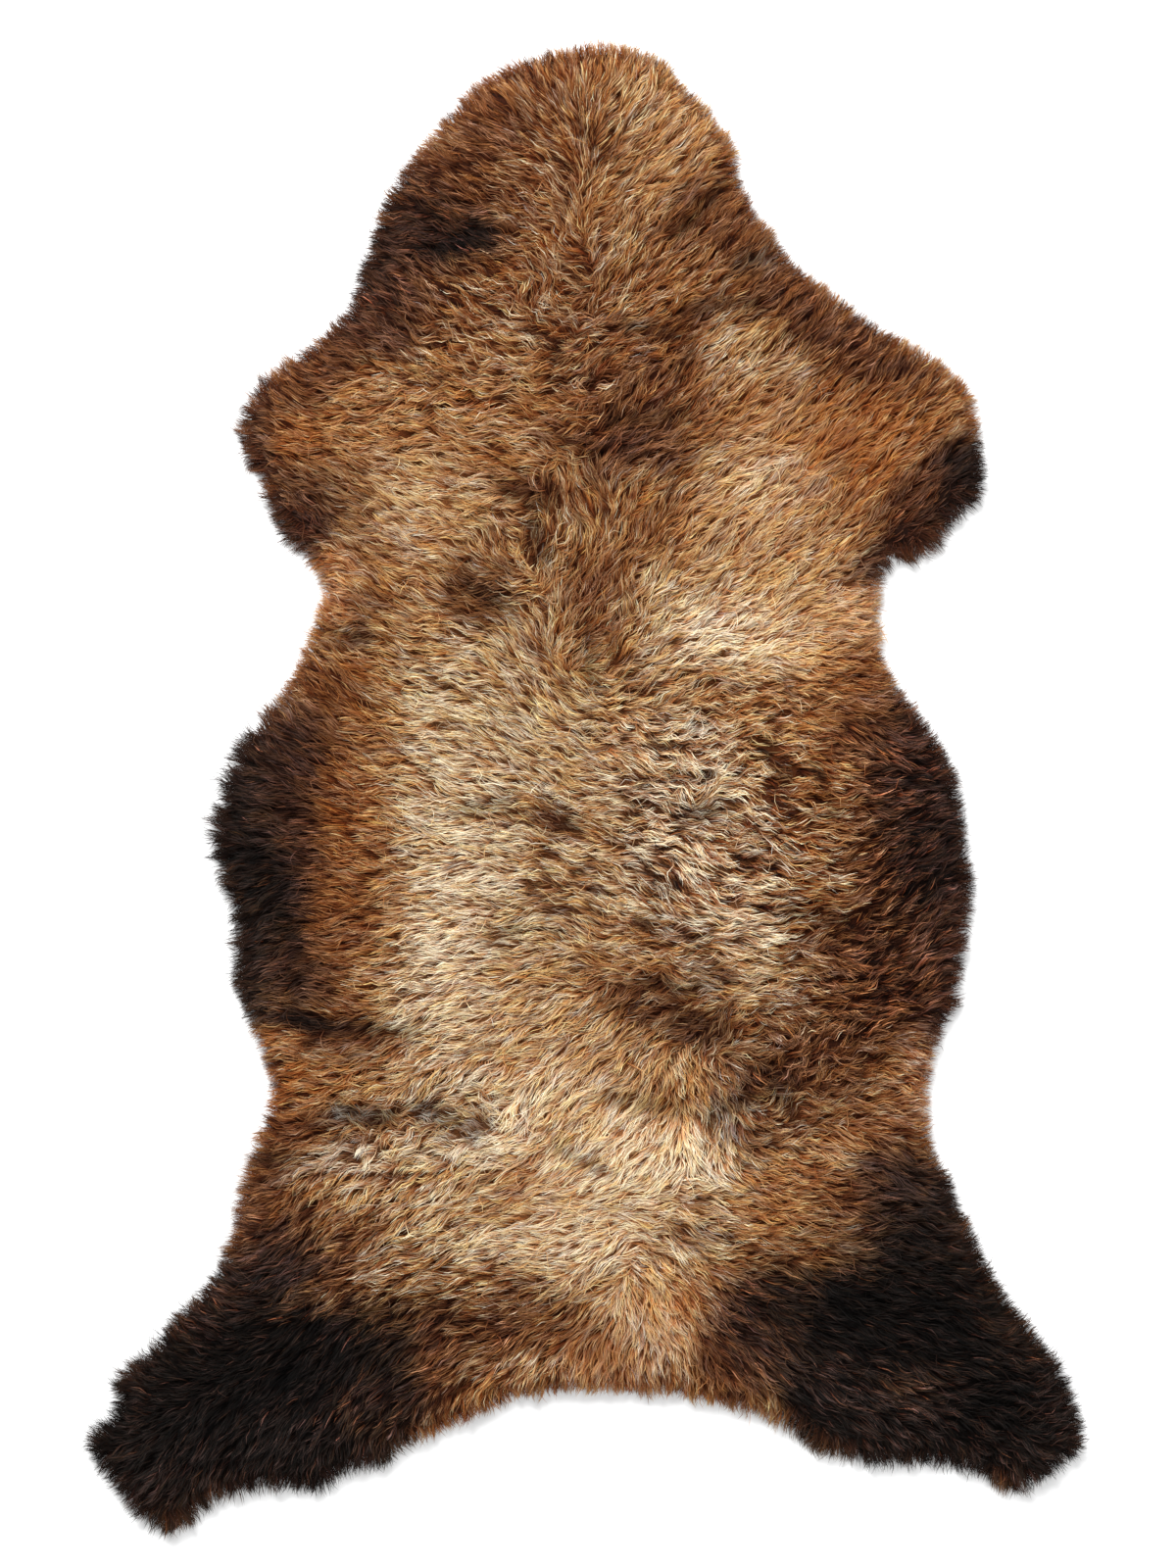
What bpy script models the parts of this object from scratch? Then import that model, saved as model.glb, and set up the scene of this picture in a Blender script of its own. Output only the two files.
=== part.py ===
"""A natural brown sheepskin rug, lying flat with its wool up.

The pelt is one piece: a tanned hide and the wool that grows from it, so it is one solid.
Its underside is the flat flesh side of the hide. The wool overhangs the hide's cut edge,
rises to a lumpy crown, and ends all round in tufts that lean outwards and droop to the floor.

Sizes in the tables are millimetres. +Y runs from the tail to the head, +Z is up,
and the origin is the middle of the underside.
"""

import math

import bmesh
import bpy
from mathutils import Vector, noise
from mathutils.geometry import delaunay_2d_cdt

MM = 0.001

# Driving sizes of the pelt, in millimetres.
HIDE_THICK = 1.8
HIDE_TUCK = 5.0  # how far the hide's edge lies inside the wool's own edge
WOOL_UNDER = 3.2  # height of the wool's underside at its edge
TUFT_TOP = 14.5  # height of the top of the tufts' roots
TUFT_TOP_VARIES = 1.0  # up or down
SHOULDER_HEIGHT = 21.5
SHOULDER_VARIES = 1.5  # up or down
SHOULDER_INSET = 7.0
PILE_HEIGHT = 29.5  # usual height of the wool, away from the edge
PILE_RISE = 45.0  # distance from the edge in which the wool reaches that height
LOWEST_PILE = 15.0
FLOOR_REST = 0.6  # a drooping tip stops this far above the floor
TIP_VARIES = 2.4  # and at most this much higher

# Tufts round the rim, and lumps of wool on the top.
TUFTS = 272
TUFT_SPACING_JITTER = 0.38  # unevenness of the tufts' roots, as a share of their pitch
TUFT_SHORTEST, TUFT_LONGEST = 0.55, 1.25  # shares of the stretch's tuft length
TUFT_ROOT = 0.72  # how far inside the edge a tuft is rooted, as a share of its length
TUFT_WAIST = 0.55  # share of a tuft's length at which it starts to come to a point
TUFT_TAPER = 0.7  # width there, as a share of the root's
TUFT_SAG, TUFT_SAG_VARIES = 0.62, 0.22  # least height there, as a share of the root's, and what chance adds
TUFT_FOLLOWS_WOOL = 0.55  # how strongly the lean of the wool turns a tuft from straight out
TUFT_TURNS_ASIDE = 0.4  # lets a tuft follow wool that lies along the edge
TUFT_SWING = 0.24  # the most that a tuft swings to either side, as a share of its length
TUFT_BLEND = 4  # neighbours on either side over which tuft lengths are averaged
LUMP_PITCH = 15.5
LUMP_JITTER = 3.6
LUMP_RELIEF = 3.1
LUMP_CLEARANCE = 0.8  # least distance of a lump from the shoulder, as a share of the pitch
SWELL_PITCH = 95.0  # width of the broad unevenness under the lumps
SWELL_RELIEF = 2.6
SEED = 7

# Steps of the edge's curve between two points of its table, and the distance below which two points are one.
CURVE_STEPS = 24
SAME_POINT = 1e-4

# Linear colour and roughness of the two finishes.
BROWN_WOOL = ((0.30, 0.18, 0.095), 0.9)
TANNED_HIDE = ((0.72, 0.60, 0.45), 0.8)

# The wool's edge, clockwise from the crown as seen from above.
# Columns: stretch, tuft length, points (x, y) along the tips of the usual tufts.
EDGE = (
    ("crown", 13, ((-69, 507), (-34, 522), (15, 530), (54, 518), (72, 499))),
    ("right_neck", 12, ((102, 460), (113, 425), (146, 376), (176, 352))),
    ("right_foreleg", 14, ((214, 325), (250, 305), (272, 283), (282, 241), (281, 208))),
    ("right_elbow", 15, ((263, 184), (242, 165), (216, 156))),
    ("right_waist", 10, ((208, 133), (209, 107), (217, 78), (239, 45))),
    ("right_flank", 15, ((256, 14), (267, -26), (274, -68), (270, -114), (263, -156))),
    ("right_loin", 13, ((249, -184), (244, -215), (244, -250), (256, -281))),
    ("right_thigh", 14, ((284, -341), (309, -380), (333, -411), (355, -466))),
    ("right_foot", 14, ((342, -485), (316, -499), (293, -493), (270, -480))),
    ("right_inner_leg", 18, ((232, -481), (197, -481), (162, -470), (141, -452))),
    ("tail", 9, ((106, -438), (64, -429), (22, -428), (-20, -431), (-55, -438), (-90, -453))),
    ("left_inner_leg", 16, ((-122, -469), (-143, -483), (-171, -490), (-192, -502), (-230, -501))),
    ("left_foot", 14, ((-264, -511), (-291, -530), (-309, -519), (-332, -494), (-356, -467))),
    ("left_hock", 15, ((-339, -444), (-337, -422), (-314, -401))),
    ("left_thigh", 12, ((-290, -373), (-265, -347), (-253, -313), (-244, -275))),
    ("left_loin", 12, ((-230, -240), (-226, -208), (-237, -177), (-251, -142))),
    ("left_flank", 18, ((-253, -107), (-262, -72), (-269, -37), (-262, 2), (-248, 35))),
    ("left_waist", 11, ((-222, 61), (-204, 93), (-193, 121), (-190, 143))),
    ("left_elbow", 17, ((-202, 161), (-220, 182), (-236, 213))),
    ("left_foreleg", 16, ((-249, 248), (-239, 283), (-211, 307))),
    ("left_neck", 12, ((-178, 332), (-166, 352), (-155, 387), (-146, 416), (-127, 446), (-99, 480))),
)

# Which way the tips of the wool lean. Columns: x, y, heading in degrees from +X, reach.
LAY = (
    (20, 500, 95, 90),
    (-110, 430, 160, 90),
    (130, 400, 40, 90),
    (-150, 330, 140, 90),
    (-210, 250, 178, 90),
    (-215, 190, 205, 80),
    (200, 290, 38, 100),
    (250, 200, 350, 90),
    (-170, 110, 185, 90),
    (200, 90, 355, 90),
    (-220, -30, 183, 110),
    (230, -60, 358, 110),
    (-220, -180, 188, 100),
    (225, -200, 350, 100),
    (-230, -330, 205, 100),
    (260, -340, 335, 100),
    (-310, -460, 215, 80),
    (-190, -470, 250, 80),
    (0, -420, 268, 110),
    (180, -460, 295, 80),
    (320, -450, 325, 80),
)

# Creases and partings in the wool. Columns: from x, y, to x, y, half width, depth.
# A negative depth is a ridge.
CREASES = (
    (-212, -90, -205, -170, 11, 5.0),
    (-228, -95, -222, -160, 12, -3.5),
    (-205, -165, -120, -175, 10, 5.0),
    (-240, 60, -165, 112, 9, 3.0),
    (-100, -20, -30, 45, 14, 3.0),
    (-20, 200, 20, 130, 16, 3.0),
    (60, 40, 160, 30, 12, 3.0),
    (40, -60, 150, -150, 16, -2.5),
    (-130, 395, -60, 380, 16, 3.5),
    (-170, -245, 80, -235, 14, 3.0),
    (120, -240, 190, -245, 12, 3.0),
    (20, 330, 110, 300, 12, 3.0),
    (292, -440, 318, -462, 26, -6.0),
    (262, -455, 285, -415, 12, 5.0),
    (-290, -430, -250, -460, 30, -3.0),
)


def either_way(most):
    """A random number between minus and plus the most."""
    return most * (2 * noise.random() - 1)


def smooth_loop(points, count):
    """A closed Catmull-Rom curve through the points, cut into uneven steps of its length."""
    dense = []
    for i in range(len(points)):
        a, b, c, d = (points[(i + k - 1) % len(points)] for k in range(4))
        for j in range(CURVE_STEPS):
            t = j / CURVE_STEPS
            bend = (2 * a - 5 * b + 4 * c - d) * t**2 + (3 * b - a - 3 * c + d) * t**3
            dense.append((2 * b + (c - a) * t + bend) / 2)
    lengths = [(dense[(i + 1) % len(dense)] - p).length for i, p in enumerate(dense)]
    shares = [1 + either_way(TUFT_SPACING_JITTER) for _ in range(count)]
    pitch = sum(lengths) / sum(shares)
    loop, travelled, wanted = [], 0.0, 0.0
    for i, p in enumerate(dense):
        following = dense[(i + 1) % len(dense)]
        while wanted < travelled + lengths[i] and len(loop) < count:
            loop.append(p.lerp(following, (wanted - travelled) / lengths[i]))
            wanted += pitch * shares[len(loop) - 1]
        travelled += lengths[i]
    return loop


def outward(loop, spread=2):
    """Unit vectors out of a clockwise loop, each averaged over a few neighbours so that insets don't cross."""
    count = len(loop)
    raw = []
    for i in range(count):
        along = loop[(i + 1) % count] - loop[i - 1]
        raw.append(Vector((-along.y, along.x)).normalized())
    return [
        sum((raw[(i + k) % count] for k in range(-spread, spread + 1)), Vector((0, 0))).normalized()
        for i in range(count)
    ]


def moved(loop, distance):
    """The loop moved out by a distance, or in if it is negative."""
    return [p + n * distance for p, n in zip(loop, outward(loop))]


def heading(x, y):
    """The unit vector in which the wool leans at a point, blended from the table of strokes."""
    total = Vector((0, 0))
    for at_x, at_y, angle, reach in LAY:
        near = math.exp(-((x - at_x) ** 2 + (y - at_y) ** 2) / reach**2)
        total += near * Vector((math.cos(math.radians(angle)), math.sin(math.radians(angle))))
    return total.normalized()


def near_segment(x, y, crease):
    """How far a point is from a crease's middle line."""
    start, end, at = Vector(crease[:2]), Vector(crease[2:4]), Vector((x, y))
    along = end - start
    share = max(0.0, min(1.0, (at - start).dot(along) / along.length_squared))
    return (at - start - along * share).length


def height(x, y, from_edge):
    """Height of the wool's top at a point that lies a given distance inside the edge."""
    share = min(1.0, from_edge / PILE_RISE)
    z = SHOULDER_HEIGHT + (PILE_HEIGHT - SHOULDER_HEIGHT) * math.sin(share * math.pi / 2)
    z += SWELL_RELIEF * share * noise.noise(Vector((x, y, 0)) / SWELL_PITCH)
    for crease in CREASES:
        half_width, depth = crease[4:]
        z -= depth * math.exp(-((near_segment(x, y, crease) / half_width) ** 2))
    return max(LOWEST_PILE, z)


def inside_points(loop):
    """Uneven rows of points over the inside of a loop, with the distance of each from the loop."""
    found = []
    low_x, high_x = min(p.x for p in loop), max(p.x for p in loop)
    low_y, high_y = min(p.y for p in loop), max(p.y for p in loop)
    row_pitch = LUMP_PITCH * math.sqrt(0.75)
    for row in range(int((high_y - low_y) / row_pitch) + 1):
        for column in range(int((high_x - low_x) / LUMP_PITCH) + 1):
            jitter = Vector((either_way(LUMP_JITTER), either_way(LUMP_JITTER)))
            x = low_x + (column + (row % 2) / 2) * LUMP_PITCH
            point = Vector((x, low_y + row * row_pitch)) + jitter
            from_edge = min((p - point).length for p in loop)
            if from_edge > LUMP_CLEARANCE * LUMP_PITCH and encloses(loop, point):
                found.append((point, from_edge))
    return found


def encloses(loop, point):
    """Whether a point is inside a loop, by counting the edges that a ray along +X crosses."""
    inside = False
    for i, b in enumerate(loop):
        a = loop[i - 1]
        if (a.y > point.y) != (b.y > point.y):
            if point.x < a.x + (point.y - a.y) / (b.y - a.y) * (b.x - a.x):
                inside = not inside
    return inside


def add_ring(mesh, loop, z):
    """A ring of vertices at one height, or at one height each."""
    heights = z if isinstance(z, list) else [z] * len(loop)
    return [mesh.verts.new((p.x, p.y, h)) for p, h in zip(loop, heights)]


def bridge(mesh, lower, upper):
    """The band of quads between two rings."""
    faces = []
    for i in range(len(lower)):
        following = (i + 1) % len(lower)
        faces.append(mesh.faces.new((lower[following], lower[i], upper[i], upper[following])))
    return faces


def add_top(mesh, shoulder, loop):
    """The lumpy top, triangulated between the shoulder ring and uneven rows of lumps."""
    inner = inside_points(loop)
    flat = list(loop) + [point for point, _ in inner]
    rim = [(i, (i + 1) % len(loop)) for i in range(len(loop))]
    points, _, faces, origins, _, _ = delaunay_2d_cdt(flat, rim, [], 1, SAME_POINT)
    verts = []
    for point, origin in zip(points, origins):
        if origin[0] < len(loop):
            verts.append(shoulder[origin[0]])
            continue
        from_edge = inner[origin[0] - len(loop)][1]
        z = height(point.x, point.y, from_edge) + either_way(LUMP_RELIEF)
        verts.append(mesh.verts.new((point.x, point.y, z)))
    for face in faces:
        mesh.faces.new([verts[i] for i in face])


def grow_tuft(mesh, root, length):
    """Draws one rim quad out into a four-sided tuft that leans with the wool and droops to the floor."""
    middle = root.calc_center_median()
    out = root.normal.copy()
    out.z = 0
    out.normalize()
    lean = heading(middle.x, middle.y).to_3d()
    agreement = max(0.0, out.dot(lean) + TUFT_TURNS_ASIDE)
    toward = (out + TUFT_FOLLOWS_WOOL * agreement * lean).normalized()
    side = Vector((-toward.y, toward.x, 0))
    toward = (toward + either_way(TUFT_SWING) * side).normalized()
    length *= TUFT_SHORTEST + (TUFT_LONGEST - TUFT_SHORTEST) * noise.random()

    waist = bmesh.ops.extrude_discrete_faces(mesh, faces=[root])["faces"][0]
    waist_at = middle + toward * length * TUFT_WAIST
    waist_at.z = middle.z * (TUFT_SAG + TUFT_SAG_VARIES * noise.random())
    for vert in waist.verts:
        vert.co = waist_at + (vert.co - middle) * TUFT_TAPER
    tip_at = middle + toward * length
    tip_at.z = FLOOR_REST + TIP_VARIES * noise.random()
    tip = bmesh.ops.poke(mesh, faces=[waist])["verts"][0]
    tip.co = tip_at


def tuft_lengths(loop):
    """A tuft length for each point of the loop, blended between the stretches of edge on either side."""
    lengths = []
    for p in loop:
        nearest = min((math.hypot(p.x - x, p.y - y), tuft) for _, tuft, points in EDGE for x, y in points)
        lengths.append(nearest[1])
    count, near = len(lengths), range(-TUFT_BLEND, TUFT_BLEND + 1)
    return [sum(lengths[(i + k) % count] for k in near) / len(near) for i in range(count)]


def finish_material(name, colour, roughness):
    """A Principled material with one colour."""
    material = bpy.data.materials.new(name)
    material.use_nodes = True
    shader = material.node_tree.nodes["Principled BSDF"]
    shader.inputs["Base Color"].default_value = (*colour, 1)
    shader.inputs["Roughness"].default_value = roughness
    return material


def build_pelt():
    """The pelt as one closed mesh: hide, wool's underside, tufted rim, shoulder and lumpy top."""
    noise.seed_set(SEED)
    tips = smooth_loop([Vector(p) for _, _, points in EDGE for p in points], TUFTS)
    lengths = tuft_lengths(tips)
    rim = [p - n * TUFT_ROOT * reach for p, n, reach in zip(tips, outward(tips), lengths)]
    hide = moved(rim, -HIDE_TUCK)
    shoulder_loop = moved(rim, -SHOULDER_INSET)

    mesh = bmesh.new()
    rings = [
        add_ring(mesh, hide, 0.0),
        add_ring(mesh, hide, HIDE_THICK),
        add_ring(mesh, rim, WOOL_UNDER),
        add_ring(mesh, rim, [TUFT_TOP + either_way(TUFT_TOP_VARIES) for _ in rim]),
        add_ring(mesh, shoulder_loop, [SHOULDER_HEIGHT + either_way(SHOULDER_VARIES) for _ in rim]),
    ]
    underside = mesh.faces.new(rings[0])
    bridge(mesh, rings[0], rings[1])
    bridge(mesh, rings[1], rings[2])
    roots = bridge(mesh, rings[2], rings[3])
    bridge(mesh, rings[3], rings[4])
    add_top(mesh, rings[4], shoulder_loop)
    bmesh.ops.recalc_face_normals(mesh, faces=mesh.faces)
    for root, length in zip(roots, lengths):
        grow_tuft(mesh, root, length)
    bmesh.ops.triangulate(mesh, faces=[underside], ngon_method="BEAUTY")

    low = Vector([min(v.co[k] for v in mesh.verts) for k in range(3)])
    high = Vector([max(v.co[k] for v in mesh.verts) for k in range(3)])
    middle = Vector(((low.x + high.x) / 2, (low.y + high.y) / 2, 0))
    bmesh.ops.translate(mesh, verts=mesh.verts, vec=-middle)
    bmesh.ops.scale(mesh, verts=mesh.verts, vec=(MM, MM, MM))

    data = bpy.data.meshes.new("sheepskin")
    data.materials.append(finish_material("brown_wool", *BROWN_WOOL))
    data.materials.append(finish_material("tanned_hide", *TANNED_HIDE))
    wool_above = (HIDE_THICK + WOOL_UNDER) / 2 * MM
    for face in mesh.faces:
        face.material_index = 1 if max(v.co.z for v in face.verts) < wool_above else 0
    mesh.to_mesh(data)
    mesh.free()
    pelt = bpy.data.objects.new("sheepskin", data)
    bpy.context.scene.collection.objects.link(pelt)
    return pelt


for old in list(bpy.data.objects):
    bpy.data.objects.remove(old)
build_pelt()
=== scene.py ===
# %% [markdown]
# # A natural brown sheepskin rug, wool side up
#
# The frame that this lesson loads is one CAD solid: a flat hide with a lumpy block of wool on it and pointed
# tufts round its rim. It rests and collides, but it looks like felt. Real fleece is thousands of fine fibres
# that hang together in wavy pointed locks, shaded dark towards the skin and bleached at the tips; here the
# shade, and a glow on the tips, are painted into the strands' colour. The lesson puts four things in the
# solid's place: the tanned hide, a dense body of underwool, the locks that cover it, and the fringe and stray
# hairs that break its outline. All of it is arithmetic on whole arrays, so nearly two hundred thousand
# strands take ten seconds.

import bpy
import numpy as np
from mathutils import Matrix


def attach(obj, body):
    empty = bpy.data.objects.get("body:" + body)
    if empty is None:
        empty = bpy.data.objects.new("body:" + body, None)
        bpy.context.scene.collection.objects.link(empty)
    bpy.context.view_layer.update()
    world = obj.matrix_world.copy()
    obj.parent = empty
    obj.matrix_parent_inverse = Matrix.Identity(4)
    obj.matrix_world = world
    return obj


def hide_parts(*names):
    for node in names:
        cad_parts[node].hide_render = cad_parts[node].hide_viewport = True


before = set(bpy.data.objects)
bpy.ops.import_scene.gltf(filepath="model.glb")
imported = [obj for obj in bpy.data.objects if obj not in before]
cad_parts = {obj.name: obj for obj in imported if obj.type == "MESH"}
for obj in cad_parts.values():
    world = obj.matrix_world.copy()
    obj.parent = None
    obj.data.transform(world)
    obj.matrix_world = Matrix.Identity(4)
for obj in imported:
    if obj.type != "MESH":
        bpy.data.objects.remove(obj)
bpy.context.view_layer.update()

MM = 0.001

# %% [markdown]
# ## Where the photograph's pixels lie on the rug
#
# The photograph looks straight down, so one pixel covers the same 0.7 mm everywhere. The tables below give
# places on the rug as pixels that were read off the photograph, because that is how a maker would mark up a
# print of it. Everything else is in millimetres until the meshes are made.

# %% Pixels to millimetres
PHOTO_WIDE, PHOTO_HIGH = 1200, 1600
PIXEL = 0.7  # millimetres
MIDDLE_X, MIDDLE_Y = 597.0, 798.8  # the pixel that lies over the rug's origin


def on_rug(px, py):
    """Millimetres on the rug for a pixel: its offset from the middle pixel times 0.7, with Y upwards."""
    return (np.asarray(px, float) - MIDDLE_X) * PIXEL, (MIDDLE_Y - np.asarray(py, float)) * PIXEL


# %% [markdown]
# ## The camera
#
# A long lens far above keeps the pelt free of perspective, as in the photograph. The sensor's 36 mm lie
# along the picture's long side, so the lens follows from similar triangles: 36 mm over the height that the
# picture covers.

# %% Camera straight above
CAMERA_HEIGHT = 4.0
SENSOR = 36.0
camera_data = bpy.data.cameras.new("overhead")
camera_data.sensor_width = SENSOR
camera_data.lens = SENSOR * CAMERA_HEIGHT / (PHOTO_HIGH * PIXEL * MM)
camera_data.clip_end = 3 * CAMERA_HEIGHT
camera = bpy.data.objects.new("overhead", camera_data)
aim_x, aim_y = on_rug(PHOTO_WIDE / 2, PHOTO_HIGH / 2)
camera.location = (aim_x * MM, aim_y * MM, CAMERA_HEIGHT)
bpy.context.scene.collection.objects.link(camera)
bpy.context.scene.camera = camera
print(f"lens {camera_data.lens:.0f} mm at {CAMERA_HEIGHT} m")

# %% [markdown]
# ## The outline
#
# A pelt's outline is what the knife left: neck, forelegs, waist, flanks, hind legs and tail edge. The CAD
# solid is drawn from stretches of the same names. Each row has the length of the fringe there and points
# along the tips of the wool, clockwise from the crown. A Catmull-Rom curve runs through every point, which a
# Bezier curve would not do without hand-set handles, and it blends the fringe lengths along with the points.

# %% Stretches of the edge, in millimetres
EDGE = (
    ("crown", 12, ((-69, 507), (-34, 522), (15, 530), (54, 518), (72, 499))),
    ("right_neck", 12, ((102, 460), (113, 425), (146, 376), (176, 352))),
    ("right_foreleg", 12, ((214, 325), (250, 305), (272, 283), (282, 241), (281, 208))),
    ("right_elbow", 14, ((262, 186), (242, 164), (216, 155))),
    ("right_waist", 10, ((208, 133), (209, 107), (218, 77), (243, 43))),
    ("right_flank", 12, ((261, 12), (269, -27), (274, -68), (270, -114), (263, -156))),
    ("right_loin", 11, ((249, -184), (244, -215), (245, -250), (259, -281))),
    ("right_thigh", 12, ((286, -340), (312, -379), (336, -411), (354, -466))),
    ("right_foot", 14, ((337, -487), (313, -501), (291, -500), (269, -488))),
    ("right_inner_leg", 15, ((232, -485), (197, -484), (162, -475), (141, -457))),
    ("tail", 9, ((106, -443), (64, -434), (22, -431), (-20, -431), (-55, -438), (-90, -453))),
    ("left_inner_leg", 14, ((-122, -469), (-143, -483), (-171, -490), (-192, -502), (-230, -501))),
    ("left_foot", 14, ((-264, -511), (-291, -531), (-313, -525), (-337, -500), (-356, -468))),
    ("left_hock", 15, ((-339, -444), (-337, -422), (-314, -401))),
    ("left_thigh", 12, ((-290, -373), (-265, -347), (-253, -313), (-244, -275))),
    ("left_loin", 11, ((-230, -240), (-226, -208), (-237, -177), (-251, -142))),
    ("left_flank", 18, ((-253, -107), (-262, -72), (-269, -37), (-262, 2), (-248, 35))),
    ("left_waist", 11, ((-222, 61), (-204, 93), (-193, 121), (-190, 143))),
    ("left_elbow", 17, ((-202, 161), (-220, 182), (-236, 213))),
    ("left_foreleg", 16, ((-249, 248), (-239, 283), (-211, 307))),
    ("left_neck", 12, ((-178, 332), (-166, 352), (-155, 387), (-146, 416), (-127, 446), (-99, 480))),
)
CURVE_STEPS = 8
SHIFT_X, SHIFT_Y = 1.4, -2.6  # the solid is centred on its tufts' tips, which moves the drawn edge by this


def closed_curve(points, steps):
    """A closed Catmull-Rom curve: half of 2b + (c-a)t + (2a-5b+4c-d)t^2 + (3b-a-3c+d)t^3 from b to c."""
    b = np.asarray(points, float)[:, None]
    a, c, d = (np.roll(b, shift, axis=0) for shift in (1, -1, -2))
    t = (np.arange(steps) / steps)[None, :, None]
    curve = 2 * b + (c - a) * t + (2 * a - 5 * b + 4 * c - d) * t**2 + (3 * b - a - 3 * c + d) * t**3
    return 0.5 * curve.reshape(-1, curve.shape[-1])


drawn = [(x + SHIFT_X, y + SHIFT_Y, fringe) for _, fringe, points in EDGE for x, y in points]
edge = closed_curve(drawn, CURVE_STEPS)
edge_steps = np.roll(edge, -1, axis=0) - edge
perimeter = np.hypot(edge_steps[:, 0], edge_steps[:, 1]).sum()
print(f"outline of {len(edge)} points, {perimeter:.0f} mm round")

# %% [markdown]
# ## A map of the pelt
#
# Fleece changes from place to place: it is low at the rim, leans outwards, and is black on the legs. All of
# that is kept as maps on one 4 mm grid. The first maps are the distance to the edge, inside being positive,
# and the fringe length at the nearest place on the edge. A strand then reads any map at its own place.

# %% Grid, and the distance to the edge
CELL = 4.0
MARGIN = 20.0
grid_x = np.arange(edge[:, 0].min() - MARGIN, edge[:, 0].max() + MARGIN, CELL)
grid_y = np.arange(edge[:, 1].min() - MARGIN, edge[:, 1].max() + MARGIN, CELL)
MAP_X, MAP_Y = np.meshgrid(grid_x, grid_y, indexing="ij")


def to_segment(x, y, a, b):
    """How far along from a to b the place nearest to p lies, (p - a) . (b - a) / |b - a|^2 held between 0
    and 1, and how far p is from that place."""
    step_x, step_y = b[0] - a[0], b[1] - a[1]
    share = np.clip(((x - a[0]) * step_x + (y - a[1]) * step_y) / (step_x**2 + step_y**2), 0, 1)
    return share, np.hypot(x - a[0] - share * step_x, y - a[1] - share * step_y)


def edge_maps(x, y):
    """Distance to the nearest segment of the edge, negative outside by the odd-even rule, and its fringe."""
    nearest, fringe = np.full(x.shape, np.inf), np.zeros(x.shape)
    inside = np.zeros(x.shape, bool)
    for (ax, ay, af), (bx, by, bf) in zip(edge, np.roll(edge, -1, axis=0)):
        share, away = to_segment(x, y, (ax, ay), (bx, by))
        closer = away < nearest
        nearest = np.where(closer, away, nearest)
        fringe = np.where(closer, af + share * (bf - af), fringe)
        if ay != by:
            inside ^= ((ay > y) != (by > y)) & (x < ax + (y - ay) / (by - ay) * (bx - ax))
    return np.where(inside, nearest, -nearest), fringe


def read(field, x, y):
    """A map's value between its grid points, from the four round it, each weighted by the opposite area."""
    u = np.clip((x - grid_x[0]) / CELL, 0, len(grid_x) - 1.001)
    v = np.clip((y - grid_y[0]) / CELL, 0, len(grid_y) - 1.001)
    i, j = u.astype(int), v.astype(int)
    u, v = u - i, v - j
    if field.ndim == 3:
        u, v = u[..., None], v[..., None]
    near = field[i, j] * (1 - v) + field[i, j + 1] * v
    far = field[i + 1, j] * (1 - v) + field[i + 1, j + 1] * v
    return near * (1 - u) + far * u


ROOT_SHARE = 0.72  # how far inside the edge the fringe is rooted, as a share of its length
TO_EDGE, FRINGE = edge_maps(MAP_X, MAP_Y)
rim_level = TO_EDGE - ROOT_SHARE * FRINGE
out_x, out_y = (-g for g in np.gradient(TO_EDGE, CELL))
steep = np.maximum(np.hypot(out_x, out_y), 0.2)  # never nought, where two sides are equally near
OUTWARD = np.stack([out_x / steep, out_y / steep], axis=-1)
print(f"pelt of {(TO_EDGE > 0).sum() * CELL**2 / 1e6:.3f} square metres")

# %% [markdown]
# ## Soft noise
#
# Nothing on an animal repeats, so every map is stirred with value noise: random numbers on a coarse lattice,
# blended smoothly between. It is worked out here, and not in a texture node, because shapes need it too.

# %% Value noise
LATTICE = 256


def noise(x, y, pitch, seed):
    """Noise from -1 to 1: random corners on a square lattice, blended by 3t^2 - 2t^3 along both axes."""
    corners = np.random.default_rng(seed).uniform(-1, 1, (LATTICE, LATTICE))
    u, v = x / pitch + LATTICE / 2, y / pitch + LATTICE / 2
    i, j = np.floor(u).astype(int), np.floor(v).astype(int)
    u, v = u - i, v - j
    u, v = u * u * (3 - 2 * u), v * v * (3 - 2 * v)
    i, j, i1, j1 = i % LATTICE, j % LATTICE, (i + 1) % LATTICE, (j + 1) % LATTICE
    low = corners[i, j] * (1 - u) + corners[i1, j] * u
    high = corners[i, j1] * (1 - u) + corners[i1, j1] * u
    return low * (1 - v) + high * v


def smooth(t, span=1.0):
    """The smooth step from 0 to 1: 3s^2 - 2s^3, s being t over its span and held between 0 and 1."""
    s = np.clip(t / span, 0, 1)
    return s * s * (3 - 2 * s)


# %% [markdown]
# ## Which way the wool lies
#
# Wool leans from the spine towards the edges, up over the neck and down over the rump, with a few whorls.
# The strokes below are as a groomer's brush would leave them: place in pixels, heading in degrees from the
# right, and reach in pixels. Two maps are blended from them. The grain is the line along which the wool
# lies, whichever way it points, and is blended from arrows at double the angle, because opposite headings
# then agree. The way is blended from plain arrows. Over the spine left and right cancel out there, and each
# lock picks a way by chance, so the two sides mesh. Blending plain arrows alone would comb a star-shaped
# parting down the back. Close to the rim every stroke gives way to the direction straight out.

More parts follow.
